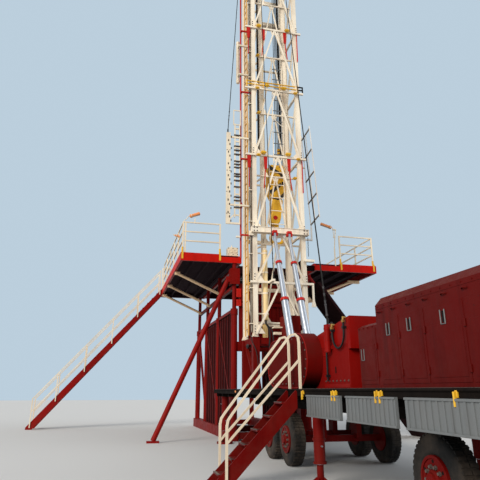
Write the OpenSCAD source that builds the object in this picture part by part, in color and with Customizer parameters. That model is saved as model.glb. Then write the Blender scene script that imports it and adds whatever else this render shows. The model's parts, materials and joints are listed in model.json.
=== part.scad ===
// Oil drilling rig on a trailer chassis: telescoping mast, drill floor with wings, stairs.
// X runs along the chassis towards its front, Y across, Z up from the ground.

/* [Mast] */
// Leg spacing across the lower mast section
mast_width = 1730; // [1600:10:1900]
// Clear distance between near and far legs
mast_depth = 1150; // [1100:10:1300]
// Square size of the lower legs
leg_size = 150; // [130:5:170]
// Size of the face bracing bars
brace_size = 70; // [60:2:80]
// Height of the mast foot above ground
foot_height = 3200; // [3000:20:3400]
// Height of the big white beam
beam_height = 6725; // [6600:25:6900]
// Height of one mast panel
panel_pitch = 2755; // [2700:5:2850]
// Square size of the upper section legs
upper_leg = 100; // [90:2:110]
// Gap between lower and upper legs
section_gap = 70; // [60:2:90]

/* [Lifting] */
// Bore of the extension cylinder
barrel_bore = 140; // [130:2:150]
// Diameter of the extension rod
rod_size = 100; // [90:2:110]
// Width of the travelling block
block_width = 620; // [580:10:660]
// Running gap round the hook shank and the extension rod
shank_gap = 0.1; // [0.05:0.05:0.3]
// Diameter of the drilling lines
rope_size = 28; // [24:1:32]

/* [Drill floor] */
// Height of the drill floor top
floor_height = 6300; // [6200:10:6400]
// Depth of the floor edge beams
edge_depth = 300; // [260:10:340]
// Length of the drill floor
floor_length = 8000; // [7600:50:8400]
// Width of the left wing
wing_left_width = 2250; // [2100:10:2400]
// Width of the right wing
wing_right_width = 2600; // [2400:10:2700]
// Handrail height
rail_height = 1180; // [1100:10:1250]
// Radius of the rotary table opening
rotary_radius = 260; // [240:5:280]
// Height of the thick lower stage of the columns
stage_tall = 3790; // [3600:10:3900]
// Depth of the seat that the rotary table is set into
rotary_recess = 50; // [40:2:56]

/* [Chassis] */
// Height of the deck
deck_height = 1620; // [1580:10:1680]
// Width of the housings on the deck
house_width = 2800; // [2700:10:2900]
// Width of the deck
deck_width = 3800; // [3700:10:3900]
// Radius of the tyres
tyre_radius = 550; // [530:5:570]
// Height of the hood side
hood_height = 1200; // [1150:10:1300]

/* [Hidden] */
$fn = 32;
gap = 0.3;
hw = mast_width / 2;
leg = leg_size;
br = brace_size;
near_in = -leg;
far_in = -leg - mast_depth;
far_out = far_in - leg;
foot = foot_height;
beam_tall = 205;
beam_deep = 200;
function girt(i) = i == 0 ? (foot + beam_height) / 2 : i == 1 ? beam_height :
  beam_height + 80 + (i - 1) * panel_pitch;
lower_top = girt(5) + br / 2;

// Upper section, nested inside the lower one.
ul = upper_leg;
up_out = hw - leg / 2 - section_gap;
up_in = up_out - ul;
up_near = near_in - 170;
up_far = far_in + 20 + ul;
near_leg = 130;
near_mid = hw - 390;
up_foot = foot + 450;
up_pitch = 2550;
up_panels = 5;
function up_girt(i) = up_foot + 2700 + (i - 1) * up_pitch;
up_top = lower_top + 630;

// Lifting gear inside the mast.
barrel_x = up_far + 110;
barrel_y = -250;
barrel_foot = foot;
barrel_top = barrel_foot + 12450;
barrel_out = barrel_bore + 40;
rod_top = barrel_top + 500;
gear_x = (up_near - near_leg + barrel_x + barrel_out / 2) / 2;
gear_y = 130;
gear_deep = 400;
sheave_r = 185;
crown_z = up_top + 620;
block_top = 9490;
block_low = 8180;
line_r = sheave_r - 30 + rope_size / 2 + gap;
sheave_mid = gear_y + 160;
line_ys = [sheave_mid - 60, sheave_mid, sheave_mid + 60];
line_x = up_near - 200;
band_ys = [-near_mid - 60, -near_mid - 105];
rope_y = -hw - leg / 2 - 480;
board_low = beam_height + 205;
cyl_ys = [-265, 250];

// Drill floor.
floor_near = -1800;
floor_far = floor_near - floor_length;
fz = floor_height;
fu = floor_height - edge_depth;
left_in = -900;
left_out = left_in - wing_left_width;
right_in = 2150;
right_out = right_in + wing_right_width;
right_near = floor_near - 400;
centre_near = floor_near - 1650;
col_xs = [-1900, -4600, -7300, floor_far + 200];
skid_tall = 350;
rotary_x = centre_near - 1150;
left_col = left_in - 250;
right_col = right_in - 650;
left_brace = fu - 860;
right_brace = fu - 1190;
strut_xs = [for (i = [0 : 2]) col_xs[i] + (col_xs[i + 1] - col_xs[i]) * 0.7];
left_step = left_out + 1480;
right_step = right_in + 1050;
raker_slope = 0.757;
raker_cos = 1 / sqrt(1 + raker_slope * raker_slope);
raker_inset = (85 + gap) / raker_cos;
function raker_y(z) = right_col + 660 + (fu - 940 - z) * raker_slope;
ramp_thick = 100;
rail_top = fz + rail_height * 0.98 + 21;

// Chassis.
dz = deck_height;
deck_thick = 120;
du = dz - deck_thick;
hh = house_width / 2;
dh = deck_width / 2;
chassis_rear = -1600;
chassis_front = 13500;
beam_low = du - 350;
axle_xs = [2700, 4050, 9800, 11150];
tyre_w = 300;
jack_xs = [-1200, 6800, 12900];
walk_pitch = 1600;
walk_tall = 350;
winch_rear = 5200;
winch_front = 7820;
hood_rear = 8850;
hood_front = 13300;

// Stairs.
stair_y = left_out;
stair_near = floor_far + 900;
stair_w = 850;
stair_rise = fz;
stair_n = 26;
stair_run = fz * 0.87;
step_rise = stair_rise / stair_n;
step_run = stair_run / stair_n;
ds_x = 6020;
ds_w = 560;
ds_n = 7;

// The origin sits under the middle of the whole rig's box.
x_low = floor_far;
x_high = chassis_front;
y_low = stair_y - stair_run;
y_high = raker_y(0) - raker_inset + 308;
shift = [-(x_low + x_high) / 2, -(y_low + y_high) / 2, 0];

// A half outline given from top to bottom, closed by its mirror image.
function two_sided(p) = concat(p, [for (i = [len(p) - 1 : -1 : 0]) [-p[i][0], p[i][1]]]);

module placed() {
  translate(shift) children();
}

// Straight bar between two points: four flat sides by default.
module bar(p, q, size, sides = 4) {
  v = q - p;
  reach = norm(v);
  wide = sides == 4 ? size * sqrt(2) : size;
  translate(p) rotate([0, acos(v[2] / reach), atan2(v[1], v[0])])
    rotate([0, 0, sides == 4 ? 45 : 0]) cylinder(h = reach, d = wide, $fn = sides);
}

module block(low, size) {
  translate(low) cube(size);
}

// Outline in the XZ plane, extruded from y0 to y1.
module along_y(y0, y1) {
  translate([0, y1, 0]) rotate([90, 0, 0]) linear_extrude(height = y1 - y0) children();
}

// Outline in the YZ plane, extruded from x0 to x1.
module along_x(x0, x1) {
  translate([x0, 0, 0]) rotate([90, 0, 90]) linear_extrude(height = x1 - x0) children();
}

// Lower mast section.
module mast_side(s) {
  union() {
    for (x = [near_in, far_out])
      block([x, s * hw - leg / 2, foot + gap], [leg, leg, lower_top - foot - gap]);
    for (i = [0 : 5]) {
      block([far_in - 20, s * hw - br / 2, girt(i) - br / 2], [mast_depth + 40, br, br]);
      low = i == 0 ? foot + br : girt(i - 1);
      bar([near_in + 20, s * hw, low], [far_in - 20, s * hw, girt(i)], br * 0.8);
      if (i > 0) bar([far_in - 20, s * hw, low], [near_in + 20, s * hw, girt(i)], br * 0.8);
    }
  }
}

module mast_lower_left() { color("#ede0cc") placed() mast_side(-1); }
module mast_lower_right() { color("#ede0cc") placed() mast_side(1); }

module mast_lower_front() {
  color("#ede0cc") placed() union() {
    for (i = [2 : 5]) block([gap, -hw - 335, girt(i) - br / 2], [br, mast_width + 550, br]);
    block([gap, -hw - 185, girt(0) - br / 2], [br, mast_width + 470, br]);
    block([gap, -hw - 165, beam_height - beam_tall / 2], [beam_deep, mast_width + 300, beam_tall]);
    block([gap, -hw - 225, beam_height - 190], [80, 160, 150]);
    for (i = [0 : 5]) for (s = [-1, 1]) {
      low = i == 0 ? foot + br : girt(i - 1);
      bar([br / 2 + gap, 0, girt(i)], [br / 2 + gap, s * hw, low], br * 0.8);
    }
    // Arms that hold the stays and the rope of the racking board.
    block([br - 10, -730, lower_top - 110], [400, 100, 110]);
    block([br - 10, 350, lower_top - 110], [150, 100, 110]);
    block([br - 10, -430, girt(0) - br / 2], [400, 100, br]);
    block([gap, rope_y - 60, girt(5) - br / 2], [br, 400, br]);
    // Bracket that hangs from the right end of the lowest girt.
    block([10, hw + 230, foot + 1200], [50, 60, girt(0) - foot - 1200]);
    along_x(10, 60) polygon([[hw + 230, foot + 1220], [hw + 290, foot + 1220],
      [hw + 340, foot + 1000], [hw + 180, foot + 1000]]);
  }
}

module mast_lower_rear() {
  color("#ede0cc") placed() for (z = [girt(0), girt(1), lower_top - 200])
    block([far_out, -hw + leg / 2 + gap, z - 60], [90, mast_width - leg - 2 * gap, 120]);
}

// Tapered guide plates with rods, hung under two of the girts.
module mast_guides() {
  color("#b3231d") placed() for (i = [2, 4]) {
    top = girt(i) - br / 2 - gap;
    for (g = [[-1070, 0], [-460, -70], [420, 80]]) union() {
      along_x(2, 52) polygon([[g[0] - 65, top], [g[0] + 65, top], [g[0] + 50, top - 480],
        [g[0] - 40, top - 480]]);
      bar([27, g[0], top - 440], [27, g[0] + g[1], top - 1220], 30);
    }
    block([12, hw + 45, top - 1270], [30, 30, 1270]);
  }
}

// Upper mast section.
module upper_side(s) {
  far_y = s * (up_out + up_in) / 2;
  near_y = s * (near_mid - 25);
  union() {
    block([up_near - near_leg, s * near_mid - near_leg / 2, up_foot],
      [near_leg, near_leg, up_top - up_foot]);
    block([up_far - ul, far_y - ul / 2, up_foot], [ul, ul, up_top - up_foot]);
    for (i = [0 : up_panels]) {
      high = i == up_panels ? up_top - 30 : up_girt(i + 1);
      low = i == 0 ? up_foot + 30 : up_girt(i);
      bar([up_far - 20, far_y, low], [up_near - near_leg + 20, near_y, low], 50);
      bar([up_far - 20, far_y, low], [up_near - near_leg + 20, near_y, high - 60], 45);
    }
    bar([up_far - 20, far_y, up_top - 35], [up_near - near_leg + 20, near_y, up_top - 35], 50);
  }
}

module mast_upper_left() { color("#e8dcc8") placed() upper_side(-1); }
module mast_upper_right() { color("#e8dcc8") placed() upper_side(1); }

module mast_upper_front() {
  x = up_near + gap;
  color("#e8dcc8") placed() union() {
    for (i = [0 : up_panels]) {
      high = i == up_panels ? up_top - 30 : up_girt(i + 1);
      low = i == 0 ? up_foot + 30 : up_girt(i);
      block([x, -700, low - 25], [60, 1490, 50]);
      for (s = [-1, 1]) bar([x + 25, 0, high], [x + 25, s * near_mid, low], 45);
    }
    block([x, -700, up_top - 60], [60, 1490, 50]);
  }
}

module mast_upper_rear() {
  wide = 2 * up_in - 2 * gap;
  color("#e8dcc8") placed() {
    block([up_far - ul, gap - up_in, up_foot + 30], [70, wide, 70]);
    for (i = [2, 4]) block([up_far - ul, gap - up_in, up_girt(i)], [60, wide, 60]);
    block([up_far - ul, gap - up_in, rod_top], [ul + 160, wide, 160]);
  }
}

// A light ladder hung on the near girts of the upper section.
module inner_ladder() {
  x = up_near + 60 + 2 * gap;
  color("#ede0cc") placed() union() {
    for (y = [-262, 290]) block([x, y, up_girt(1) - 25], [24, 24, up_girt(2) - up_girt(1) + 450]);
    for (i = [0 : 5]) block([x, -250, up_girt(1) + 240 + i * 495], [24, 550, 26]);
  }
}

module crown_frame() {
  low = up_top + gap;
  color("#e8dcc8") placed() difference() {
    union() {
      for (x = [up_near - near_leg, up_far - ul]) block([x, -up_out, low], [near_leg, 2 * up_out, 200]);
      for (s = [-1, 1]) block([up_far - ul, s * (up_out - 60) - 60, low],
        [up_near - up_far + ul, 120, 200]);
      block([line_x - 60, band_ys[1] - 60, low], [-line_x + up_near - 60, 220, 120]);
      for (y = [sheave_mid - 150, sheave_mid + 110]) {
        block([up_far - ul, y, low], [up_near - up_far + ul, 40, 180]);
        block([gear_x - 160, y, low + 100], [320, 40, crown_z - up_top + 120]);
      }
    }
    for (y = [sheave_mid - 151, sheave_mid + 109])
      translate([gear_x, y, crown_z]) rotate([-90, 0, 0]) cylinder(h = 42, d = 80 + 2 * gap);
  }
}

module sheave(y, r, z) {
  translate([gear_x, y, z]) rotate([90, 0, 0]) rotate_extrude()
    polygon([[30, -30], [r, -30], [r, -27], [r - 30, -8], [r - 30, 8], [r, 27], [r, 30], [30, 30]]);
}

module crown_sheaves() {
  color("#6d6f70") placed() union() {
    for (y = line_ys) sheave(y, sheave_r, crown_z);
    translate([gear_x, sheave_mid - 150, crown_z]) rotate([-90, 0, 0]) cylinder(h = 300, d = 80);
  }
}

module drilling_lines() {
  color("#3a3634") placed() {
    for (y = line_ys) union() {
      for (s = [-1, 1]) translate([gear_x + s * line_r, y, block_top + gap])
        cylinder(h = crown_z - block_top - gap, d = rope_size);
      translate([gear_x, y, crown_z]) rotate([90, 0, 0]) rotate_extrude(angle = 180)
        translate([line_r, 0]) circle(d = rope_size);
    }
    union() {
      for (y = band_ys) translate([line_x, y, 10040]) cylinder(h = up_top - 10040, d = rope_size);
      block([line_x - 40, band_ys[1] - 30, 10000],
        [up_near - near_leg - gap - line_x + 40, 155, 90]);
    }
  }
}

module travelling_block() {
  color("#e6ac17") placed() difference() {
    along_x(gear_x - gear_deep / 2, gear_x + gear_deep / 2) translate([gear_y, 0]) polygon([
      [-block_width / 2, block_low + 260], [-block_width * 0.31, block_low],
      [block_width * 0.31, block_low], [block_width / 2, block_low + 260],
      [block_width / 2, block_top - 90], [block_width / 2 - 90, block_top],
      [90 - block_width / 2, block_top], [-block_width / 2, block_top - 90]]);
    translate([gear_x, gear_y, block_low - 1]) cylinder(h = 72, d = 100 + 2 * shank_gap);
    translate([gear_x, gear_y, block_low + 70]) cylinder(h = 110, d = 200);
  }
}

// The hook body is a front outline crossed with a side outline.
module hook() {
  top = block_low - 40;
  front = [[210, 0], [210, -130], [150, -420], [190, -640], [190, -880], [110, -950]];
  flank = [[200, 0], [200, -130], [140, -420], [225, -640], [225, -880], [120, -950]];
  color("#e6ac17") placed() union() {
    translate([gear_x, gear_y, top - 20]) cylinder(h = 160, d = 100);
    translate([gear_x, gear_y, block_low + 78]) cylinder(h = 60, d = 170);
    intersection() {
      along_x(gear_x - 240, gear_x + 240) translate([gear_y, top]) polygon(two_sided(front));
      along_y(gear_y - 240, gear_y + 240) translate([gear_x, top]) polygon(two_sided(flank));
    }
    block([gear_x - 70, gear_y - 75, top - 1180], [140, 150, 260]);
    along_x(gear_x - 55, gear_x + 55) translate([gear_y, top - 1420]) difference() {
      circle(d = 560);
      circle(d = 340);
      translate([30, 60]) square([300, 200]);
    }
  }
}

// Extension cylinder.
module extension_barrel() {
  color("#e3cfa6") placed() difference() {
    translate([barrel_x, barrel_y, barrel_foot + gap])
      cylinder(h = barrel_top - barrel_foot - gap, d = barrel_out);
    translate([barrel_x, barrel_y, barrel_foot + 250])
      cylinder(h = barrel_top - barrel_foot - 400, d = barrel_bore);
    translate([barrel_x, barrel_y, barrel_top - 200])
      cylinder(h = 300, d = rod_size + 2 * shank_gap);
  }
}

module extension_rod() {
  color("#b9c0c6") placed() translate([barrel_x, barrel_y, barrel_foot + 300])
    cylinder(h = rod_top - barrel_foot - 300 - gap, d = rod_size);
}

// Raising cylinders.
cyl_top = [290, 0, beam_height - 285];
cyl_low = [2050, 0, dz + 280];
function cyl_at(t, y) = [cyl_top[0] + (cyl_low[0] - cyl_top[0]) * t, y,
  cyl_top[2] + (cyl_low[2] - cyl_top[2]) * t];

// Clevises under the white beam, and a collar at each stage of the raising cylinders.
module raising_clevises() {
  low = beam_height - 225;
  color("#b3231d") placed() for (y = cyl_ys) {
    union() {
      for (s = [-1, 1]) block([beam_deep + 2 * gap, y + s * 62 - 13, low], [160, 26, 180]);
      block([beam_deep + 2 * gap, y - 75, low + 100], [160, 150, 80]);
    }
    stage_collar(y, 0.2, 165, 215);
    stage_collar(y, 0.48, 220, 270);
  }
}

module stage_collar(y, t, inner, outer) {
  difference() {
    bar(cyl_at(t + 0.003, y), cyl_at(t + 0.02, y), outer, 16);
    bar(cyl_at(t, y), cyl_at(t + 0.03, y), inner + 2 * gap, 16);
  }
}

module raising_cylinder(y) {
  union() {
    block([cyl_top[0] - 45, y - 45, cyl_top[2] - 40], [90, 90, beam_height - 125 - gap - cyl_top[2] + 40]);
    bar(cyl_at(0, y), cyl_at(0.25, y), 110, 16);
    bar(cyl_at(0.2, y), cyl_at(0.52, y), 165, 16);
    bar(cyl_at(0.48, y), cyl_at(1, y), 220, 16);
    block([1880, y - 130, dz + gap], [340, 260, 330]);
  }
}

module raising_cylinders() {
  color("#a9b6c4") placed() for (y = cyl_ys) raising_cylinder(y);
}

// Things on the mast.
module standpipe() {
  x = -200;
  y = -hw - leg / 2 - 380;
  color("#b3231d") placed() union() {
    translate([x, y, 5800]) cylinder(h = lower_top - 6000, d = 64);
    for (i = [1 : 5]) block([near_in + 20, y, girt(i) - 180], [60, 380 - gap, 50]);
    for (i = [1 : 5]) block([x - 20, y - 20, girt(i) - 180], [150, 60, 50]);
    translate([x, y, beam_height + 845]) cylinder(h = 190, d = 110);
  }
}

module mast_ladder() {
  y = -hw - leg / 2 - 130;
  color("#c8a05a") placed() union() {
    for (x = [-560, -220]) block([x, y - 20, foot + 50], [40, 40, lower_top - foot - 100]);
    for (z = [foot + 250 : 300 : lower_top - 150])
      block([-540, y - 12, z], [340, 24, 24]);
    for (i = [0 : 5]) for (x = [-560, -220])
      block([x, y, girt(i) - 20], [40, 130 + (leg - br) / 2 - gap, 40]);
  }
}

// The folded racking board: a deep band, a middle stringer, slats and a light frame on top.
module racking_board() {
  side = -hw - leg / 2;
  color("#efe6d6") placed() union() {
    block([-125, side - 930, board_low + 20], [50, 150, 3450]);
    block([-125, side - 640, board_low + 250], [50, 40, 3600]);
    for (i = [0 : 13]) block([-120, side - 620, board_low + 310 + i * 255], [40, 190, 45]);
    block([-125, side - 460, board_low], [50, 30, 3850]);
    block([-125, side - 930, board_low], [50, 500, 60]);
    bar([-100, side - 900, board_low + 60], [-100, side - 620, board_low + 370], 35);
    for (z = [670, 3270]) block([-125, side - 930, board_low + z], [50, 930 - gap, 60]);
    for (y = [side - 680, side - 430]) block([-115, y, board_low + 3800], [30, 30, 620]);
    for (z = [3800, 4390]) block([-115, side - 680, board_low + z], [30, 280, 30]);
  }
}

// A round weight that hangs beside the ladder on two brackets.
module counterweight() {
  side = -hw - leg / 2;
  color("#efe6d6") placed() union() {
    translate([-320, side - 460, girt(3) + 355]) cylinder(h = 1850, d = 130);
    for (z = [girt(3) + 585, girt(3) + 1885]) {
      block([-330, side - 490, z], [250, 60, 60]);
      block([-140, side - 490, z], [60, 490 - gap, 60]);
    }
  }
}

module side_frame() {
  side = hw + leg / 2;
  at = girt(2);
  color("#8b8a86") placed() union() {
    for (r = [[350, 1340], [390, 490], [450, -390], [500, -1250], [570, -2060]])
      bar([0, side + r[0], at + r[1]], [-650, side + r[0] - 80, at + r[1] - 200], 40);
    bar([0, side + 345, at + 1440], [0, side + 575, at - 2160], 30);
    bar([-650, side + 262, at + 1340], [-650, side + 500, at - 2460], 30);
    bar([-330, side + 305, at + 1290], [-330, side + 535, at - 2210], 24);
    block([-675, hw + br / 2 + gap, girt(2) - 30], [50, 390, 60]);
    block([-675, hw + br / 2 + gap, girt(1) - 30], [50, 560, 60]);
    block([-670, side + 470, girt(1) - 20], [40, 50, at - 2355 - girt(1)]);
  }
}

// Guy ropes between end fittings, and the rope that holds the racking board.
module stays() {
  arm = lower_top - 110 - gap;
  color("#35312f") placed() {
    union() {
      translate([420, -680, arm - 120]) cylinder(h = 120, d = 50, $fn = 12);
      bar([420, -680, arm - 60], [420, -380, girt(0) + br / 2 + 60], rope_size, 8);
      translate([420, -380, girt(0) + br / 2 + gap]) cylinder(h = 120, d = 50, $fn = 12);
    }
    union() {
      translate([150, 400, arm - 120]) cylinder(h = 120, d = 50, $fn = 12);
      bar([150, 400, arm - 60], [6790, 90 - hh, dz + 1230], rope_size, 8);
      translate([6790, 90 - hh, dz + 1160 + gap]) cylinder(h = 120, d = 50, $fn = 12);
    }
    union() {
      translate([35, rope_y, girt(5) - br / 2 - gap - 120]) cylinder(h = 120, d = 50, $fn = 12);
      bar([35, rope_y, girt(5) - br / 2 - 80],
        [-100, -hw - leg / 2 - 880, board_low + 3530], rope_size, 8);
      translate([-100, -hw - leg / 2 - 880, board_low + 3470 + gap])
        cylinder(h = 120, d = 50, $fn = 12);
    }
  }
}

// Mast support and chassis.
module mast_support() {
  color("#9c1f1b") placed() union() {
    for (x = [near_in - 35, far_out - 35]) for (s = [-1, 1])
      block([x, s * hw - 110, dz + gap], [220, 220, foot - dz - gap]);
    for (s = [-1, 1]) block([far_out, s * hw - 60, foot - 200], [-far_out, 120, 200]);
    for (x = [near_in, far_out]) block([x, -hw, foot - 220], [140, mast_width, 200]);
    for (s = [-1, 1]) bar([near_in, s * hw, dz + 200], [far_in, s * hw, foot - 200], 90);
    block([barrel_x - 150, -hw, foot - 200], [300, mast_width, 200]);
  }
  color("#7d1a18") placed() block([350, -180, dz + gap], [600, 480, 2150]);
}

module chassis_frame() {
  color("#2c2726") placed() union() {
    for (s = [-1, 1]) block([chassis_rear, s * 430 - 60, beam_low],
      [chassis_front - chassis_rear, 120, 350 - gap]);
    for (x = [chassis_rear : 2500 : chassis_front - 200])
      block([x, -430, beam_low + 60], [150, 860, 200]);
  }
}

module deck() {
  color("#3a2f2d") placed() block([chassis_rear, -dh, du],
    [chassis_front - chassis_rear, deck_width, deck_thick]);
}

module axles() {
  color("#2a2a2a") placed() for (x = axle_xs) union() {
    block([x - 70, -1020, tyre_radius - 70], [140, 2040, 140]);
    for (s = [-1, 1]) block([x - 150, s * 430 - 60, tyre_radius],
      [300, 120, beam_low - tyre_radius - gap]);
    for (s = [-1, 1]) translate([x, s * 1150, tyre_radius]) rotate([90, 0, 0])
      cylinder(h = 300, r = 290 * tyre_radius / 550 - gap, center = true);
  }
}

module tyres() {
  color("#1d1d1d") placed() for (x = axle_xs) for (s = [-1, 1])
    translate([x, s * 1150, tyre_radius]) rotate([90, 0, 0]) rotate_extrude()
      polygon([[290, -130], [330, -150], [500, -150], [550, -110],
        [550, 110], [500, 150], [330, 150], [290, 130]] * (tyre_radius / 550));
}

module levelling_jacks() {
  color("#9c1f1b") placed() for (x = jack_xs) for (s = [-1, 1]) union() {
    translate([x, s * 1600, 0]) cylinder(h = 60, d = 500);
    translate([x, s * 1600, 30]) cylinder(h = 500, d = 120);
    translate([x, s * 1600, 400]) cylinder(h = du - 400 - gap, d = 200);
  }
}

module engine_hood() {
  top = dz + hood_height;
  low = top - 280;
  color("#8e1a18") placed() union() {
    along_x(hood_rear, hood_front) polygon([
      [-hh, dz + gap], [hh, dz + gap], [hh, top], [hh - 110, top + 120],
      [110 - hh, top + 120], [-hh, top]]);
    along_x(hood_rear - 630, hood_rear + 10) polygon([
      [-hh, dz + gap], [hh, dz + gap], [hh, low], [hh - 90, low + 50],
      [90 - hh, low + 50], [-hh, low]]);
  }
}

module radiator_grille() {
  color("#2b2b2b") placed() difference() {
    block([hood_front + gap, -1000, dz + 200], [80, 2000, 900]);
    for (i = [0 : 10]) block([hood_front + 40, -920, dz + 270 + i * 72], [60, 1840, 36]);
  }
}

module drawworks_housing() {
  color("#9a1c1a") placed() union() {
    along_y(-hh, hh) polygon([[winch_rear, dz + gap], [winch_front, dz + gap],
      [winch_front, dz + 640], [winch_front + 100, dz + 640],
      [winch_front + 100, dz + 1180], [winch_rear, dz + 810]]);
    block([6740, 40 - hh, dz + 900], [100, 100, 260]);
  }
}

module drum_guard() {
  deep = (dh - hh) * 0.62;
  color("#a01d1a") placed() for (s = [-1, 1]) along_y(s > 0 ? hh + gap : -hh - deep,
    s > 0 ? hh + deep : -hh - gap) union() {
    translate([winch_rear + 970, dz + 530]) circle(r = 520, $fn = 48);
    translate([winch_rear - 600, dz + 530]) circle(r = 500, $fn = 48);
    translate([winch_rear - 600, dz + 30]) square([1570, 980]);
  }
}

module wall_cylinder() {
  color("#b3231d") placed() union() {
    translate([winch_front - 690, -hh - 80, dz + 620]) cylinder(h = 490, d = 110, $fn = 24);
    for (z = [dz + 680, dz + 960]) block([winch_front - 725, -hh - 60, z], [70, 60 - gap, 60]);
  }
}

module side_hose(x, w, z) {
  r = 18;
  union() {
    for (s = [-1, 1]) translate([x + s * w / 2, -hh - 45, z]) cylinder(h = 230, r = r, $fn = 12);
    translate([x, -hh - 45, z]) rotate([-90, 0, 0]) rotate_extrude(angle = 180)
      translate([w / 2, 0]) circle(r = r, $fn = 12);
    for (s = [-1, 1]) block([x + s * w / 2 - 28, -hh - 72, z + 60], [56, 72 - gap, 40]);
  }
}

module side_hoses() {
  color("#1c1b1b") placed() {
    side_hose(winch_front - 295, 490, dz + 915);
    union() {
      translate([winch_front - 840, -hh - 45, dz + 130]) cylinder(h = 850, r = 18, $fn = 12);
      for (z = [dz + 200, dz + 860]) block([winch_front - 868, -hh - 72, z], [56, 72 - gap, 40]);
    }
  }
}

module walkway_panels() {
  color("#b9bdbf") placed() for (s = [-1, 1]) for (i = [0 : 3])
    block([winch_front - 660 + i * walk_pitch, s > 0 ? dh + gap : -dh - 40, du - walk_tall + 20],
      [walk_pitch - 220, 40 - gap, walk_tall]);
}

// Treads stand free between the two stringers.
module deck_stair() {
  run = dz / ds_n;
  color("#9c1f1b") placed() {
    for (x = [ds_x, ds_x + ds_w - 40]) along_x(x, x + 40) polygon([
      [-dh - gap, dz], [-dh - gap, dz - 330], [-dh - dz + 330, 0], [-dh - dz - 20, 0]]);
    for (i = [1 : ds_n - 1]) block([ds_x + 40 + gap, -dh - i * run - 60, dz - i * run - 30],
      [ds_w - 80 - 2 * gap, 240, 30]);
  }
}

// A flat strip between two points of an outline, rounded at its start.
module strip(p, q, wide) {
  v = q - p;
  translate(p) rotate(atan2(v[1], v[0])) translate([0, -wide / 2]) square([norm(v), wide]);
  translate(p) circle(d = wide, $fn = 12);
}

// One looped handrail of the short stair, standing beside the stringer.
module stair_loop(x) {
  path = [[60 - dh, dz + 830], [45 - dh, dz + 930], [-dh - 20, dz + 985], [-dh - 110, dz + 960],
    [-dh - dz + 400, 1210], [-dh - dz + 320, 1100], [-dh - dz + 300, 1000]];
  color("#efe6d6") along_x(x - 21, x + 21) union() {
    for (i = [0 : 5]) strip(path[i], path[i + 1], 40);
    strip([60 - dh, dz + 520], [-dh - dz + 300, 720], 36);
    translate([39 - dh, dz + gap]) square([42, 840]);
    translate([-dh - dz + 279, 100]) square([42, 920]);
  }
}

module deck_stair_rails() {
  color("#efe6d6") placed() for (x = [ds_x - 21 - gap, ds_x + ds_w + 21 + gap]) stair_loop(x);
}

// Drill floor and substructure.
// One side of the substructure: skid, staged tubular columns, braces and dark side sheets.
module columns(y, brace_z) {
  union() {
    block([floor_far, y - 150, 0], [floor_length - 50, 300, skid_tall]);
    for (x = col_xs) {
      translate([x, y, skid_tall - 10]) cylinder(h = stage_tall, d = 220);
      translate([x, y, skid_tall - 10 + stage_tall]) cylinder(h = 220, d = 260);
      translate([x, y, skid_tall + 200 + stage_tall])
        cylinder(h = fu - gap - skid_tall - 200 - stage_tall, d = 150);
    }
    block([col_xs[0] - 170, y - 170, fu - 790], [340, 340, 580]);
    for (i = [0 : 2]) {
      bar([col_xs[i], y, skid_tall + stage_tall + 160],
        [col_xs[i + 1], y, skid_tall + stage_tall + 160], 110);
      bar([col_xs[i], y, brace_z], [col_xs[i + 1], y, brace_z], 110);
      bar([col_xs[i], y, skid_tall + 300], [col_xs[i + 1], y, skid_tall + stage_tall + 10], 90);
    }
    for (i = [0, 1]) {
      reach = col_xs[i] - col_xs[i + 1];
      block([col_xs[i + 1], y - 20, skid_tall - 10], [reach, 40, stage_tall + 70]);
      for (k = [1 : 5]) block([col_xs[i + 1] + reach * k / 6 - 25, y - 45, skid_tall - 10],
        [50, 90, stage_tall + 70]);
    }
  }
}

module substructure_left() { color("#8e1a18") placed() columns(left_col, left_brace); }
module substructure_right() { color("#8e1a18") placed() columns(right_col, right_brace); }

module substructure_ties() {
  color("#8e1a18") placed() for (x = [floor_far + 50, col_xs[1] - 800, floor_near - 350])
    block([x, left_col + 150 + gap, 60], [250, right_col - left_col - 300 - 2 * gap, 200]);
}

// Ties the substructure to the mast support on the chassis.
module link_beams() {
  low = left_col + 110 + gap;
  color("#8e1a18") placed() union() {
    block([col_xs[0] - 80, low, foot - 320], [160, right_col - 110 - gap - low, 320 - gap]);
    for (s = [-1, 1]) block([col_xs[0], s * hw - 60, foot - 300],
      [far_out - 35 - gap - col_xs[0], 120, 160]);
  }
}

// The dark ribbed wall between the two near columns, with bright girder strips.
module front_wall() {
  low = left_col + 170 + gap;
  wide = right_col - 170 - gap - low;
  x = col_xs[0];
  color("#6a1816") placed() union() {
    block([x - 30, low, foot], [60, wide, 2060]);
    for (k = [1 : 7]) block([x + 20, low + wide * k / 8 - 30, foot], [60, 60, 1250]);
    block([x + 20, low, foot + 1250], [90, wide, 120]);
    block([x + 20, low, foot + 1420], [70, wide, 470]);
  }
}

module floor_centre() {
  w = right_in - left_in;
  reach = centre_near - floor_far;
  color("#5b1513") placed() difference() {
    union() {
      block([floor_far, left_in, fz - 70], [reach, w, 70]);
      for (x = [floor_far, floor_far + 2500, rotary_x - 750, rotary_x + 550, centre_near - 120])
        block([x, left_in, fu + 30], [120, w, edge_depth - 30]);
      for (y = [left_in, right_in - 100]) block([floor_far, y, fu + 30],
        [reach, 100, edge_depth - 30]);
      // Beams that run on to the near column and tie in the right wing.
      block([centre_near - 200, right_col - 100, fu], [floor_near - centre_near + 200, 200, 240]);
      block([floor_far, right_col - 100, fu], [reach, 200, 240]);
      block([right_near - 250, right_col, fu], [150, right_in - right_col, 200]);
    }
    translate([rotary_x, 0, fu - 1]) cylinder(h = edge_depth + 2, r = rotary_radius + 140);
    // A stepped seat holds the rotary table level with the floor.
    translate([rotary_x, 0, fz - rotary_recess])
      cylinder(h = rotary_recess + 1, r = rotary_radius + 330);
  }
}

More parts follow.
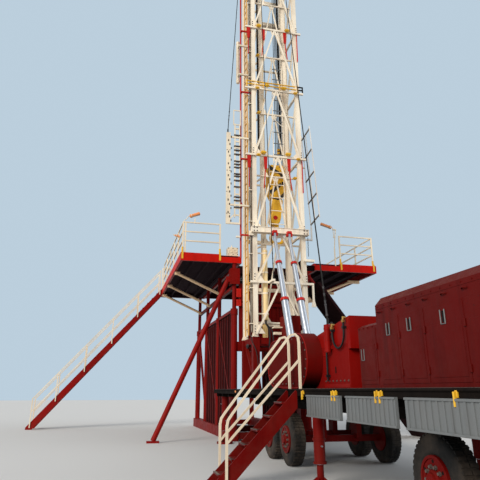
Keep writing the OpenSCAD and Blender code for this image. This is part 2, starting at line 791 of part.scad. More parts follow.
module rotary_table() {
  color("#4a4d50") placed() translate([rotary_x, 0, fz]) rotate_extrude()
    polygon([[rotary_radius, -285], [rotary_radius + 130, -285],
      [rotary_radius + 130, gap - rotary_recess], [rotary_radius + 320, gap - rotary_recess],
      [rotary_radius + 320, -5], [rotary_radius, -5]]);
}

// A wing: plate on joists inside edge channels; its near edge is lower beside the mast.
module wing(y0, y1, x1, tall0, tall1) {
  n = floor((y1 - y0) / 720);
  union() {
    block([floor_far, y0, fz - 60], [x1 - 150 - floor_far, y1 - y0, 60]);
    block([x1 - 200, tall0, fz - 60], [200, tall1 - tall0, 60]);
    block([x1 - 90, tall0, fu], [90, tall1 - tall0, edge_depth]);
    block([x1 - 90, y0, fu], [90, y1 - y0, edge_depth - 90]);
    block([floor_far, y0, fu], [90, y1 - y0, edge_depth]);
    block([x1 - 200, tall0 == y0 ? y0 : y1 - 90, fu], [200, 90, edge_depth]);
    for (y = [y0, y1 - 90]) {
      block([floor_far, y, fu], [x1 - 150 - floor_far, 90, edge_depth]);
      block([x1 - 200, y, fu], [200, 90, edge_depth - 90]);
    }
    for (i = [1 : n]) block([floor_far, y0 + i * (y1 - y0) / (n + 1) - 30, fz - 210],
      [x1 - floor_far - 20, 60, 120]);
    for (i = [1 : n]) block([floor_far, y0 + i * (y1 - y0) / (n + 1) - 30, fz - 210],
      [x1 - floor_far - 160, 60, 160]);
  }
}

module wing_left() {
  color("#a3201b") placed() union() {
    wing(left_out, left_in - gap, floor_near, left_out, left_step);
    // The beam that lies on the left columns.
    block([floor_far, left_col - 60, fu], [floor_length - 100, 120, 100]);
  }
}

module wing_right() {
  color("#a3201b") placed() wing(right_in + gap, right_out, right_near, right_step, right_out);
}

module wing_struts() {
  lc = left_col - 55 - gap;
  rc = right_col + 55 + gap;
  color("#d8c39c") placed() for (x = strut_xs) {
    union() {
      bar([x, lc - 60, left_brace + 25], [x, left_out + 130, fu - 60], 110, 16);
      block([x - 60, left_out + 30, fu - 110], [120, 200, 110 - gap]);
      block([x - 60, lc - 110, left_brace - 50], [120, 110, 100]);
    }
    union() {
      bar([x, rc + 60, right_brace + 20], [x, right_out - 420, fu - 60], 110, 16);
      block([x - 60, right_out - 520, fu - 110], [120, 520, 110 - gap]);
      block([x - 60, rc, right_brace - 50], [120, 110, 100]);
    }
  }
}

module rakers() {
  lc = left_col - 170 - gap;
  rc = right_col + 170 + gap;
  x = col_xs[0];
  color("#b3201b") placed() {
    union() {
      bar([x, lc - 90, fu - 650], [x, lc - 2480, 60], 170, 16);
      block([x - 100, lc - 2680, 0], [200, 400, 60]);
      block([x - 80, lc - 130, fu - 700], [160, 130, 200]);
    }
    union() {
      bar([x, raker_y(fu - 390), fu - 390], [x, raker_y(60), 60], 170, 16);
      block([x - 100, raker_y(0) - raker_inset + 8, 0], [200, 300, 60]);
      block([x - 80, rc, fu - 500], [160, 125, 220]);
    }
  }
}

// A wide sloping plate under the right raker, from below the wing to the ground.
module side_ramp() {
  top = fu - 700;
  thick = ramp_thick / raker_cos;
  color("#5d1715") placed() along_x(col_xs[0] - 600, col_xs[0] + 800) polygon([
    [raker_y(top) - raker_inset - thick, top], [raker_y(top) - raker_inset, top],
    [raker_y(0) - raker_inset, 0], [raker_y(0) - raker_inset - thick, 0]]);
}

module rail_run(p, q, n) {
  for (i = [0 : n]) {
    c = p + (q - p) * (i / n);
    block([c[0] - 25, c[1] - 25, fz + gap], [50, 50, rail_height]);
  }
  for (t = [0.38, 0.68, 0.98]) bar([p[0], p[1], fz + rail_height * t],
    [q[0], q[1], fz + rail_height * t], 42);
}

module railing_left() {
  x = floor_near - 60;
  color("#efe3cd") placed() union() {
    rail_run([x, left_step - 40], [x, left_out + 60], 1);
    block([x - 25, left_out + 125, fz + gap], [50, 50, rail_height]);
    rail_run([x, left_out + 60], [stair_near, left_out + 60], 5);
    rail_run([floor_far + 60, left_out + 60], [floor_far + 60, left_in - 60], 2);
    block([x - 15, left_out + 470, rail_top - 40], [30, 30, 190 - gap]);
  }
}

module railing_right() {
  x = right_near - 60;
  y = right_step - 170;
  color("#efe3cd") placed() {
    union() {
      rail_run([x, right_step + 50], [x, right_out - 100], 1);
      rail_run([x, right_out - 100], [floor_far + 60, right_out - 100], 5);
      rail_run([floor_far + 60, right_out - 100], [floor_far + 60, right_in + 60], 2);
    }
    union() {
      block([x - 20, y - 20, fz - 90 + gap], [40, 40, 750]);
      bar([x, y, fz + 640], [x, y + 40, fz + 1050], 40, 12);
      bar([x, y + 40, fz + 1030], [x, y + 85, fz + 1430], 40, 12);
      block([x - 20, y - 40, fz + 1400], [40, 145, 50]);
    }
  }
}

module floor_stair() {
  x0 = floor_far + 60;
  color("#a3201b") placed() {
    for (x = [x0, x0 + stair_w - 50]) along_x(x, x + 50) polygon([
      [left_out - gap, fz - 20], [left_out - gap, fz - 330],
      [left_out - stair_run + 260, 0], [left_out - stair_run, 0],
      [left_out - stair_run, 90]]);
    for (i = [1 : stair_n - 1]) block([x0 + 50 + gap, left_out - i * step_run - 40,
      fz - i * step_rise - 45], [stair_w - 100 - 2 * gap, step_run * 1.15, 35]);
  }
}

module floor_stair_rails() {
  color("#efe3cd") placed() for (x = [floor_far + 39 - gap,
      floor_far + 60 + stair_w + 21 + gap]) union() {
    for (t = [0.02, 0.2, 0.4, 0.6, 0.8, 0.97]) {
      z = (fz - 90) * (1 - t);
      block([x - 21, left_out - stair_run * t - 21, z - 110], [42, 42, 1190]);
    }
    for (h = [520, 1050]) bar([x, left_out - stair_run * 0.02, fz - 90 - fz * 0.02 + h],
      [x, left_out - stair_run * 0.97, (fz - 90) * 0.03 + h], 40);
  }
}

module floor_winch() {
  color("#e6dbc6") placed() block([floor_near - 480, left_in - 480, fz + gap], [320, 380, 330]);
}

// Floodlights: two on the left wing's rails, one on the curved pole of the right wing.
module lamps() {
  xl = floor_near - 60;
  xr = right_near - 60;
  color("#e0762a") placed() {
    union() {
      bar([xl, left_out + 300, rail_top + 193], [xl, left_out + 670, rail_top + 383], 130, 16);
      block([xl - 20, left_out + 465, rail_top + 150], [40, 40, 100]);
    }
    union() {
      bar([-3000, left_out - 110, fz + 970], [-3000, left_out + 90, fz + 910], 90, 16);
      block([-3015, left_out + 45, fz + rail_height * 0.68 + 21 + gap], [30, 30, 90]);
    }
    union() {
      bar([xr, right_step - 710, fz + 1650], [xr, right_step - 250, fz + 1430], 130, 16);
      block([xr - 25, right_step - 300, fz + 1380], [50, 90 - gap, 90]);
    }
  }
}

mast_lower_left();
mast_lower_right();
mast_lower_front();
mast_lower_rear();
mast_guides();
mast_upper_left();
mast_upper_right();
mast_upper_front();
mast_upper_rear();
inner_ladder();
crown_frame();
crown_sheaves();
drilling_lines();
travelling_block();
hook();
extension_barrel();
extension_rod();
raising_clevises();
raising_cylinders();
standpipe();
mast_ladder();
racking_board();
counterweight();
side_frame();
stays();
mast_support();
chassis_frame();
deck();
axles();
tyres();
levelling_jacks();
engine_hood();
radiator_grille();
drawworks_housing();
drum_guard();
wall_cylinder();
side_hoses();
walkway_panels();
deck_stair();
deck_stair_rails();
substructure_left();
substructure_right();
substructure_ties();
link_beams();
front_wall();
floor_centre();
rotary_table();
wing_left();
wing_right();
wing_struts();
rakers();
side_ramp();
railing_left();
railing_right();
floor_stair();
floor_stair_rails();
floor_winch();
lamps();
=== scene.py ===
import bpy
import bmesh
import json
import math
from mathutils import Matrix, Vector


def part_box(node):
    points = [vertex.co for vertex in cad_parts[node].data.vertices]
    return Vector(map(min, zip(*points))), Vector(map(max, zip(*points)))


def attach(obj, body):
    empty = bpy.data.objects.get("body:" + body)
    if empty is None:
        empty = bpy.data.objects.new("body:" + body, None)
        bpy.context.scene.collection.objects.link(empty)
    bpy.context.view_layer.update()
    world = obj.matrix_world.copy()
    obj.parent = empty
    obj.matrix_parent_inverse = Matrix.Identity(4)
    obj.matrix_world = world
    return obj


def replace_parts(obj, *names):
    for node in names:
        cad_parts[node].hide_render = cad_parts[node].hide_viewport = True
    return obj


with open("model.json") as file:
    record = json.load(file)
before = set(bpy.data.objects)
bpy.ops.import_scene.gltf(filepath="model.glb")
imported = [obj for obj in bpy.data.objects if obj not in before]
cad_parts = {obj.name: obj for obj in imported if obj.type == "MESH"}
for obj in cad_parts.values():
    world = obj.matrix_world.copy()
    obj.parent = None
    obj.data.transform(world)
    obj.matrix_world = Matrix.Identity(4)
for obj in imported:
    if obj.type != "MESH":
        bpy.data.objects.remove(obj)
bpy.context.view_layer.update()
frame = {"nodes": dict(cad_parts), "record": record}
nodes = frame["nodes"]
print("rig frame loaded")

# The mast's own coordinates, in metres: X is 0 at the near face of the lower mast,
# Y is 0 on its middle line, Z is up from the ground.
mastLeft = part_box("mast_lower_left")
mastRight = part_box("mast_lower_right")
mastOrigin = Vector((mastLeft[1].x, (mastLeft[0].y + mastRight[1].y) / 2, 0))


def spot(x, y, z):
    return Vector((x, y, z)) + mastOrigin


# Angles all the way round, and angles along an arc with both its ends.
def turns(count, offset=0.0):
    return [2 * math.pi * (k + offset) / count for k in range(count)]


def arc(start, sweep, steps):
    return [start + sweep * k / steps for k in range(steps + 1)]


# Small mesh makers. Each adds to an open bmesh, in mast coordinates. A block with a bevel is made
# corner by corner: Blender's own bevel puts the parts of a mesh in another order in each run.
def addBlock(bm, low, high, bevel=0.0):
    a, b = spot(*low), spot(*high)
    size = b - a
    if bevel > 0:
        addChamferedBox(bm, (a + b) / 2, [abs(v) / 2 for v in size], bevel)
    else:
        scale = Matrix.Diagonal((abs(size.x), abs(size.y), abs(size.z), 1))
        bmesh.ops.create_cube(bm, size=1, matrix=Matrix.Translation((a + b) / 2) @ scale)


# The signs of a box corner, from the one on an axis and the ones on the two axes after it.
def cornerSigns(axis, sign, first, second):
    signs = [sign, first, second]
    return tuple(signs[(i - axis) % 3] for i in range(3))


# Three points at each corner, one on every side that meets there, and the small face between them.
# Then the six sides and the strips along the twelve edges.
def addChamferedBox(bm, middle, half, bevel):
    around = ((-1, -1), (1, -1), (1, 1), (-1, 1))
    points = {}
    for signs in [(sign, *pair) for sign in (-1, 1) for pair in around]:
        for axis in range(3):
            reach = [half[i] if i == axis else half[i] - bevel for i in range(3)]
            place = Vector([sign * out for sign, out in zip(signs, reach)])
            points[signs, axis] = bm.verts.new(middle + place)
        bm.faces.new([points[signs, axis] for axis in range(3)])
    for axis in range(3):
        after, last = (axis + 1) % 3, (axis + 2) % 3
        for sign in (-1, 1):
            bm.faces.new([points[cornerSigns(axis, sign, *pair), axis] for pair in around])
        for pair in around:
            low, high = (cornerSigns(axis, sign, *pair) for sign in (-1, 1))
            bm.faces.new([points[key] for key in ((low, after), (high, after), (high, last), (low, last))])


# A block whose Y is measured outwards from the middle line, on one side of the rig.
def addSideBlock(bm, side, low, high, bevel=0.0):
    near, far = sorted((side * low[1], side * high[1]))
    addBlock(bm, (low[0], near, low[2]), (high[0], far, high[2]), bevel)


def addRod(bm, start, end, radius, sides=12):
    a, b = spot(*start), spot(*end)
    turn = (b - a).to_track_quat("Z", "Y").to_matrix().to_4x4()
    bmesh.ops.create_cone(bm, cap_ends=True, segments=sides, radius1=radius, radius2=radius,
                          depth=(b - a).length, matrix=Matrix.Translation((a + b) / 2) @ turn)


def joinRings(bm, low, high):
    for k in range(len(low)):
        j = (k + 1) % len(low)
        bm.faces.new((low[k], low[j], high[j], high[k]))


# A round tube along a line of points.
def addPath(bm, points, radius, sides=8):
    line = [spot(*p) for p in points]
    rings, side = [], None
    for i, p in enumerate(line):
        ahead = (line[min(i + 1, len(line) - 1)] - line[max(i - 1, 0)]).normalized()
        if side is None:
            side = ahead.orthogonal().normalized()
        side = (side - ahead * side.dot(ahead)).normalized()
        other = ahead.cross(side)
        rings.append([bm.verts.new(p + (side * math.cos(t) + other * math.sin(t)) * radius)
                      for t in turns(sides)])
    for low, high in zip(rings, rings[1:]):
        joinRings(bm, low, high)
    bm.faces.new(list(reversed(rings[0])))
    bm.faces.new(rings[-1])


def addPlate(bm, outline, thickness):
    base = [bm.verts.new(spot(*p)) for p in outline]
    top = [bm.verts.new(v.co + Vector(thickness)) for v in base]
    bm.faces.new(base)
    bm.faces.new(list(reversed(top)))
    joinRings(bm, top, base)


# A plate that stands across the rig at one X, from an outline of (y, z) points.
def addFacePlate(bm, x, outline, thick):
    addPlate(bm, [(x, y, z) for y, z in outline], (thick, 0, 0))


# One ring of a turned shape: a single point on the axis, or a circle round it.
def turnedRing(bm, middle, turn, along, radius, sides):
    if radius < 1e-6:
        return [bm.verts.new(middle + turn @ Vector((0, 0, along)))]
    return [bm.verts.new(middle + turn @ Vector((radius * math.cos(t), radius * math.sin(t), along)))
            for t in turns(sides)]


def addRing(bm, centre, axis, outer, inner, depth, sides=32):
    turn, middle, half = Vector(axis).to_track_quat("Z", "Y"), spot(*centre), depth / 2
    rings = [turnedRing(bm, middle, turn, along, radius, sides)
             for radius, along in ((inner, -half), (outer, -half), (outer, half), (inner, half))]
    for low, high in zip(rings, rings[1:] + rings[:1]):
        joinRings(bm, low, high)


# A turned shape: outline points are (distance along the axis, radius).
def addLathe(bm, centre, axis, outline, sides=32):
    turn, middle = Vector(axis).to_track_quat("Z", "Y"), spot(*centre)
    rings = [turnedRing(bm, middle, turn, along, radius, sides) for along, radius in outline]
    for low, high in zip(rings, rings[1:]):
        for k in range(sides):
            a, b = low[k % len(low)], low[(k + 1) % len(low)]
            c, d = high[(k + 1) % len(high)], high[k % len(high)]
            corners = [v for i, v in enumerate((a, b, c, d)) if v not in (a, b, c, d)[:i]]
            if len(corners) > 2:
                bm.faces.new(corners)
    if len(rings[0]) > 1:
        bm.faces.new(list(reversed(rings[0])))
    if len(rings[-1]) > 1:
        bm.faces.new(rings[-1])


# A smooth curve through a few points, for hoses.
def smoothPath(points, steps=6):
    pts = [Vector(p) for p in points]
    out = []
    for i in range(len(pts) - 1):
        a, b = pts[max(i - 1, 0)], pts[i]
        c, d = pts[i + 1], pts[min(i + 2, len(pts) - 1)]
        for k in range(steps):
            t = k / steps
            out.append(0.5 * ((2 * b) + (c - a) * t + (2 * a - 5 * b + 4 * c - d) * t * t
                              + (3 * b - a - 3 * c + d) * t ** 3))
    out.append(pts[-1])
    return [tuple(p) for p in out]


def placePiece(name, mesh, body):
    piece = bpy.data.objects.new(name, mesh)
    bpy.context.scene.collection.objects.link(piece)
    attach(piece, body)
    return piece


def finishPiece(name, bm, look, body="rig", smooth=False):
    bmesh.ops.recalc_face_normals(bm, faces=bm.faces[:])
    mesh = bpy.data.meshes.new(name)
    bm.to_mesh(mesh)
    bm.free()
    for face in mesh.polygons:
        face.use_smooth = smooth
    if smooth:
        mesh.set_sharp_from_angle(angle=0.6)
    mesh.materials.append(finishes[look])
    return placePiece(name, mesh, body)


# Makes a node, sets its properties, and links or sets its inputs.
def makeNode(tree, kind, inputs=None, **settings):
    node = tree.nodes.new(kind)
    for key, value in settings.items():
        setattr(node, key, value)
    for label, value in (inputs or {}).items():
        if isinstance(value, bpy.types.NodeSocket):
            tree.links.new(value, node.inputs[label])
        else:
            node.inputs[label].default_value = value
    return node


# Starts a node group: inputs are (label, kind, value), outputs are (label, kind).
def startTree(name, treeKind, inputs, outputs):
    tree = bpy.data.node_groups.new(name, treeKind)
    for label, kind, value in inputs:
        socket = tree.interface.new_socket(name=label, in_out="INPUT", socket_type="NodeSocket" + kind)
        if value is not None:
            socket.default_value = value
    for label, kind in outputs:
        tree.interface.new_socket(name=label, in_out="OUTPUT", socket_type="NodeSocket" + kind)
    return tree, tree.nodes.new("NodeGroupInput").outputs, tree.nodes.new("NodeGroupOutput").inputs


# Geometry Nodes trees for what repeats. Each puts its shape on every point that it is given.
def startGrowTree(name, inputs):
    return startTree(name, "GeometryNodeTree",
                     [("Geometry", "Geometry", None), *inputs, ("Material", "Material", None)],
                     [("Geometry", "Geometry")])


def endGrowTree(tree, instances, given, result):
    real = makeNode(tree, "GeometryNodeRealizeInstances", {"Geometry": instances})
    dressed = makeNode(tree, "GeometryNodeSetMaterial", {
        "Geometry": real.outputs["Geometry"], "Material": given["Material"]})
    tree.links.new(dressed.outputs["Geometry"], result["Geometry"])
    return tree


def copyTo(tree, points, shape, rotation=(0, 0, 0)):
    return makeNode(tree, "GeometryNodeInstanceOnPoints", {
        "Points": points, "Instance": shape, "Rotation": rotation}).outputs["Instances"]


def buildBoltTree():
    tree, given, result = startGrowTree("boltHeads", [
        ("Head Radius", "Float", 0.016), ("Head Height", "Float", 0.012), ("Washer Radius", "Float", 0.022)])
    head = makeNode(tree, "GeometryNodeMeshCylinder", {
        "Vertices": 6, "Radius": given["Head Radius"], "Depth": given["Head Height"]})
    height = makeNode(tree, "ShaderNodeCombineXYZ", {"Z": given["Head Height"]})
    lift = makeNode(tree, "GeometryNodeTransform", {
        "Geometry": head.outputs["Mesh"], "Translation": height.outputs[0]})
    washer = makeNode(tree, "GeometryNodeMeshCylinder", {
        "Vertices": 10, "Radius": given["Washer Radius"], "Depth": given["Head Height"]})
    both = tree.nodes.new("GeometryNodeJoinGeometry")
    tree.links.new(lift.outputs["Geometry"], both.inputs[0])
    tree.links.new(washer.outputs["Mesh"], both.inputs[0])
    facing = makeNode(tree, "GeometryNodeInputNamedAttribute", {"Name": "facing"}, data_type="FLOAT_VECTOR")
    align = makeNode(tree, "FunctionNodeAlignRotationToVector", {"Vector": facing.outputs["Attribute"]})
    placed = copyTo(tree, given["Geometry"], both.outputs["Geometry"], align.outputs["Rotation"])
    return endGrowTree(tree, placed, given, result)


# Bars in rows: every point of the given mesh starts a row of bars.
def buildRowTree():
    tree, given, result = startGrowTree("barRows", [
        ("Count", "Int", 5), ("Step", "Vector", (0, 0, 0.1)), ("Bar Size", "Vector", (0.1, 0.02, 0.02))])
    row = makeNode(tree, "GeometryNodeMeshLine", {"Count": given["Count"], "Offset": given["Step"]})
    rows = copyTo(tree, given["Geometry"], row.outputs["Mesh"])
    points = makeNode(tree, "GeometryNodeRealizeInstances", {"Geometry": rows})
    barMesh = makeNode(tree, "GeometryNodeMeshCube", {"Size": given["Bar Size"]})
    placed = copyTo(tree, points.outputs["Geometry"], barMesh.outputs["Mesh"])
    return endGrowTree(tree, placed, given, result)


# Blocks round a circle, for the treads of the tyres.
def buildRingTree():
    tree, given, result = startGrowTree("ringBlocks", [
        ("Count", "Int", 40), ("Radius", "Float", 0.5), ("Block Size", "Vector", (0.05, 0.1, 0.02))])
    circle = makeNode(tree, "GeometryNodeMeshCircle", {"Vertices": given["Count"], "Radius": given["Radius"]})
    stand = makeNode(tree, "GeometryNodeTransform", {
        "Geometry": circle.outputs["Mesh"], "Rotation": (math.pi / 2, 0, 0)})
    block = makeNode(tree, "GeometryNodeMeshCube", {"Size": given["Block Size"]})
    where = tree.nodes.new("GeometryNodeInputPosition").outputs["Position"]
    align = makeNode(tree, "FunctionNodeAlignRotationToVector", {"Vector": where}, axis="Z", pivot_axis="Y")
    ring = copyTo(tree, stand.outputs["Geometry"], block.outputs["Mesh"], align.outputs["Rotation"])
    return endGrowTree(tree, copyTo(tree, given["Geometry"], ring), given, result)


trees = {"bolts": buildBoltTree(), "rows": buildRowTree(), "rings": buildRingTree()}


# Runs a tree on a set of points and keeps the result as a plain mesh piece.
def growPiece(name, treeName, points, look, body="rig", slotName=None, facing=None, **inputs):
    mesh = bpy.data.meshes.new(name + "Points")
    mesh.from_pydata([spot(*p) for p in points], [], [])
    if facing is not None:
        spread = mesh.attributes.new("facing", "FLOAT_VECTOR", "POINT")
        for i, v in enumerate(facing):
            spread.data[i].vector = v
    seed = bpy.data.objects.new(name + "Seed", mesh)
    bpy.context.scene.collection.objects.link(seed)
    grow = seed.modifiers.new("grow", "NODES")
    grow.node_group = trees[treeName]
    wanted = dict(inputs, material=finishes[look])
    for item in trees[treeName].interface.items_tree:
        key = item.name[0].lower() + item.name[1:].replace(" ", "")
        if item.in_out == "INPUT" and key in wanted:
            grow[item.identifier] = wanted[key]
    bpy.context.view_layer.update()
    ready = seed.evaluated_get(bpy.context.evaluated_depsgraph_get())
    made = bpy.data.meshes.new_from_object(ready)
    made.name = name
    seed.modifiers.remove(grow)
    bpy.data.objects.remove(seed)
    return placePiece(name, made, body)


# Bolt heads with washers: each spot is a place and the way that the head faces.
def boltPiece(name, spots, radius, height, body="rig", look="boltSteel"):
    washerShare = 1.4
    return growPiece(name, "bolts", [s[0] for s in spots], look, body, "zinc_steel",
                     facing=[s[1] for s in spots], headRadius=radius, headHeight=height,
                     washerRadius=radius * washerShare)


print("makers and node trees ready")


# Short names for the shader nodes in use.
def objectPlace(tree):
    return tree.nodes.new("ShaderNodeTexCoord").outputs["Object"]


def splitNode(tree, vector):
    return makeNode(tree, "ShaderNodeSeparateXYZ", {0: vector}).outputs


def noiseNode(tree, vector, scale, detail=5.0, rough=0.6):
    return makeNode(tree, "ShaderNodeTexNoise", {
        "Vector": vector, "Scale": scale, "Detail": detail, "Roughness": rough}).outputs["Fac"]


def rangeNode(tree, value, fromMin, fromMax, toMin=0.0, toMax=1.0):
    return makeNode(tree, "ShaderNodeMapRange", {
        "Value": value, "From Min": fromMin, "From Max": fromMax, "To Min": toMin,
        "To Max": toMax}).outputs["Result"]


def mathNode(tree, operation, a, b=0.0, clamp=False):
    return makeNode(tree, "ShaderNodeMath", {0: a, 1: b}, operation=operation, use_clamp=clamp).outputs[0]


def timesNode(tree, *values):
    total = values[0]
    for value in values[1:]:
        total = mathNode(tree, "MULTIPLY", total, value)
    return total


def mixNode(tree, factor, a, b, blend="MIX"):
    return makeNode(tree, "ShaderNodeMix", {"Factor": factor, "A": a, "B": b},
                    data_type="RGBA", blend_type=blend).outputs["Result"]


def stretched(tree, vector, scale):
    return makeNode(tree, "ShaderNodeMapping", {"Vector": vector, "Scale": scale}).outputs["Vector"]


# Dust on what faces up, mud near the ground, runs down the sides, and painted shade on faces that point down.
def buildWeatherAndShadeGroup():
    tree, given, result = startTree("rigWeather", "ShaderNodeTree", [
        ("Paint", "Color", (0.5, 0.1, 0.1, 1)), ("Dust", "Color", (0.4, 0.33, 0.27, 1)),
        ("Dust Amount", "Float", 0.3), ("Streaks", "Float", 0.3), ("Grime", "Float", 0.5),
        ("Roughness", "Float", 0.4)], [("Color", "Color"), ("Rough", "Float")])
    worn, streak, grime = (0.72, 0.68, 0.66, 1), (0.40, 0.34, 0.30, 1), (0.16, 0.13, 0.12, 1)
    where = objectPlace(tree)
    facing = splitNode(tree, tree.nodes.new("ShaderNodeNewGeometry").outputs["Normal"])["Z"]
    tone = rangeNode(tree, noiseNode(tree, where, 0.55, 3.0), 0.3, 0.7)
    paint = mixNode(tree, tone, given["Paint"], mixNode(tree, tone, given["Paint"], worn, "MULTIPLY"))
    runs = rangeNode(tree, noiseNode(tree, stretched(tree, where, (8, 8, 0.6)), 1.0), 0.5, 0.78)
    sides = rangeNode(tree, mathNode(tree, "ABSOLUTE", facing), 0.25, 0.6, 1.0, 0.0)
    paint = mixNode(tree, timesNode(tree, runs, given["Streaks"], sides), paint, streak, "MULTIPLY")
    # Painted shade: faces that point down are darkened, fully where they face the ground.
    under = rangeNode(tree, facing, -0.9, -0.4, 1.0, 0.0)
    paint = mixNode(tree, timesNode(tree, under, given["Grime"]), paint, grime, "MULTIPLY")
    patches = rangeNode(tree, noiseNode(tree, where, 1.9, 7.0, 0.65), 0.40, 0.72)
    upward = rangeNode(tree, facing, -0.1, 1.0, 0.45, 1.7)
    mud = rangeNode(tree, splitNode(tree, where)["Z"], 0.1, 1.7, 2.2, 0.9)
    dustMask = mathNode(tree, "MULTIPLY", timesNode(tree, patches, upward, mud), given["Dust Amount"], True)
    tree.links.new(mixNode(tree, dustMask, paint, given["Dust"]), result["Color"])
    smears = rangeNode(tree, noiseNode(tree, where, 6.0, 4.0), 0.35, 0.7, -0.06, 0.12)
    rough = mathNode(tree, "ADD", given["Roughness"], smears)
    tree.links.new(mathNode(tree, "ADD", rough, timesNode(tree, dustMask, 0.45), True), result["Rough"])
    return tree


# Chipped paint: small flecks of primer and steel in some zones, with dents and a fine peel.
def buildChipGroup():
    tree, given, result = startTree("rigChips", "ShaderNodeTree", [
        ("Color", "Color", (0.5, 0.1, 0.1, 1)), ("Bare", "Color", (0.16, 0.09, 0.06, 1)),
        ("Amount", "Float", 0.3), ("Scale", "Float", 22.0)], [("Color", "Color"), ("Height", "Float")])
    where = objectPlace(tree)
    flecks = rangeNode(tree, noiseNode(tree, where, given["Scale"], 8.0, 0.75), 0.60, 0.66)
    zones = rangeNode(tree, noiseNode(tree, where, 1.3, 4.0), 0.45, 0.62)
    mask = mathNode(tree, "MULTIPLY", timesNode(tree, flecks, zones), given["Amount"], True)
    tree.links.new(mixNode(tree, mask, given["Color"], given["Bare"]), result["Color"])
    dents = timesNode(tree, noiseNode(tree, where, 3.5, 3.0), 0.8)
    peel = timesNode(tree, noiseNode(tree, where, 160.0, 2.0), 0.02)
    height = mathNode(tree, "ADD", dents, peel)
    tree.links.new(mathNode(tree, "SUBTRACT", height, timesNode(tree, mask, 0.05)), result["Height"])
    return tree


# Raised lozenges of a chequered floor plate.
def buildCheckerGroup():
    tree, given, result = startTree("floorChecks", "ShaderNodeTree", [("Pitch", "Float", 22.0)],
                                    [("Height", "Float")])
    where = objectPlace(tree)
    waves = []
    for turn in (math.pi / 4, -math.pi / 4):
        turned = makeNode(tree, "ShaderNodeMapping", {"Vector": where, "Rotation": (0, 0, turn)})
        split = splitNode(tree, turned.outputs["Vector"])
        across, along = (mathNode(tree, "SINE", timesNode(tree, split[axis], given["Pitch"], pace))
                         for axis, pace in (("X", 6.28), ("Y", 2.2)))
        waves.append(rangeNode(tree, timesNode(tree, across, along), 0.35, 0.6))
    tree.links.new(mathNode(tree, "MAXIMUM", *waves), result["Height"])
    return tree


# One inside the box between two corners, zero on its faces: the unlit underside of a floor.
def buildHollowGroup():
    tree, given, result = startTree("hollowSpace", "ShaderNodeTree", [
        ("Low", "Vector", (0, 0, 0)), ("High", "Vector", (1, 1, 1))], [("Mask", "Float")])
    where = objectPlace(tree)
    edge = 0.01
    masks = []
    for a, b in ((where, given["Low"]), (given["High"], where)):
        apart = makeNode(tree, "ShaderNodeVectorMath", {0: a, 1: b}, operation="SUBTRACT")
        split = splitNode(tree, apart.outputs[0])
        masks += [rangeNode(tree, split[axis], 0.0, edge) for axis in "XYZ"]
    tree.links.new(timesNode(tree, *masks), result["Mask"])
    return tree


groups = {"weather": buildWeatherAndShadeGroup(), "chips": buildChipGroup(), "checks": buildCheckerGroup(),
          "hollow": buildHollowGroup()}


def groupNode(tree, key, inputs):
    return makeNode(tree, "ShaderNodeGroup", inputs, node_tree=groups[key]).outputs


def startMaterial(name):
    material = bpy.data.materials.new(name)
    material.use_nodes = True
    return material, material.node_tree, material.node_tree.nodes["Principled BSDF"]


# A weathered surface with painted shade on faces that point down. shade is a box whose inside gets painted
# shade: darker and rougher than the rest.
def makeFinish(name, color, rough=0.4, metal=0.0, dust=(0.36, 0.29, 0.23), dustAmount=0.25, streaks=0.35,
               grime=0.6, chips=0.3, chipScale=22.0, bare=(0.12, 0.07, 0.05), bump=0.25, checks=0.0,
               shine=0.5, shade=None, shadeColor=(0.024, 0.014, 0.018)):
    shadeRough, reliefDepth, checkShare = 0.55, 0.02, 0.35
    material, tree, shader = startMaterial(name)
    shader.inputs["Metallic"].default_value = metal
    shader.inputs["Specular IOR Level"].default_value = shine
    chipped = groupNode(tree, "chips", {
        "Color": (*color, 1), "Bare": (*bare, 1), "Amount": chips, "Scale": chipScale})
    weather = groupNode(tree, "weather", {
        "Paint": chipped["Color"], "Dust": (*dust, 1), "Dust Amount": dustAmount, "Streaks": streaks,
        "Grime": grime, "Roughness": rough})
    surface, roughness = weather["Color"], weather["Rough"]
    if shade is not None:
        inside = groupNode(tree, "hollow", {"Low": shade[0], "High": shade[1]})["Mask"]
        surface = mixNode(tree, inside, surface, (*shadeColor, 1))
        roughness = mathNode(tree, "ADD", roughness, timesNode(tree, inside, shadeRough))
    tree.links.new(surface, shader.inputs["Base Color"])
    tree.links.new(roughness, shader.inputs["Roughness"])
    if bump <= 0:
        return material
    height = chipped["Height"]
    if checks > 0:
        plate = groupNode(tree, "checks", {"Pitch": checks})["Height"]
        height = mathNode(tree, "ADD", height, timesNode(tree, plate, checkShare))
    relief = makeNode(tree, "ShaderNodeBump", {"Strength": bump, "Distance": reliefDepth, "Height": height})
    tree.links.new(relief.outputs["Normal"], shader.inputs["Normal"])
    return material


# Ground and polished steel: faint long bands, no dirt.
def makeSteel(name, light, dark):
    material, tree, shader = startMaterial(name)
    shader.inputs["Metallic"].default_value = 0.85
    where = stretched(tree, objectPlace(tree), (1.0, 1.0, 0.2))
    bands = rangeNode(tree, noiseNode(tree, where, 2.5), 0.35, 0.65)
    rough = mathNode(tree, "ADD", 0.26, timesNode(tree, bands, 0.08))
    tree.links.new(mixNode(tree, bands, (*light, 1), (*dark, 1)), shader.inputs["Base Color"])
    tree.links.new(rough, shader.inputs["Roughness"])
    return material


# Mottled glass of the floodlights.
def makeLens(name, light, dark):
    material, tree, shader = startMaterial(name)
    shader.inputs["Roughness"].default_value = 0.12
    shader.inputs["Coat Weight"].default_value = 0.6
    mottle = rangeNode(tree, noiseNode(tree, objectPlace(tree), 40.0), 0.3, 0.7)
    tree.links.new(mixNode(tree, mottle, (*light, 1), (*dark, 1)), shader.inputs["Base Color"])
    return material


def spotBox(low, high):
    return tuple(spot(*low)), tuple(spot(*high))


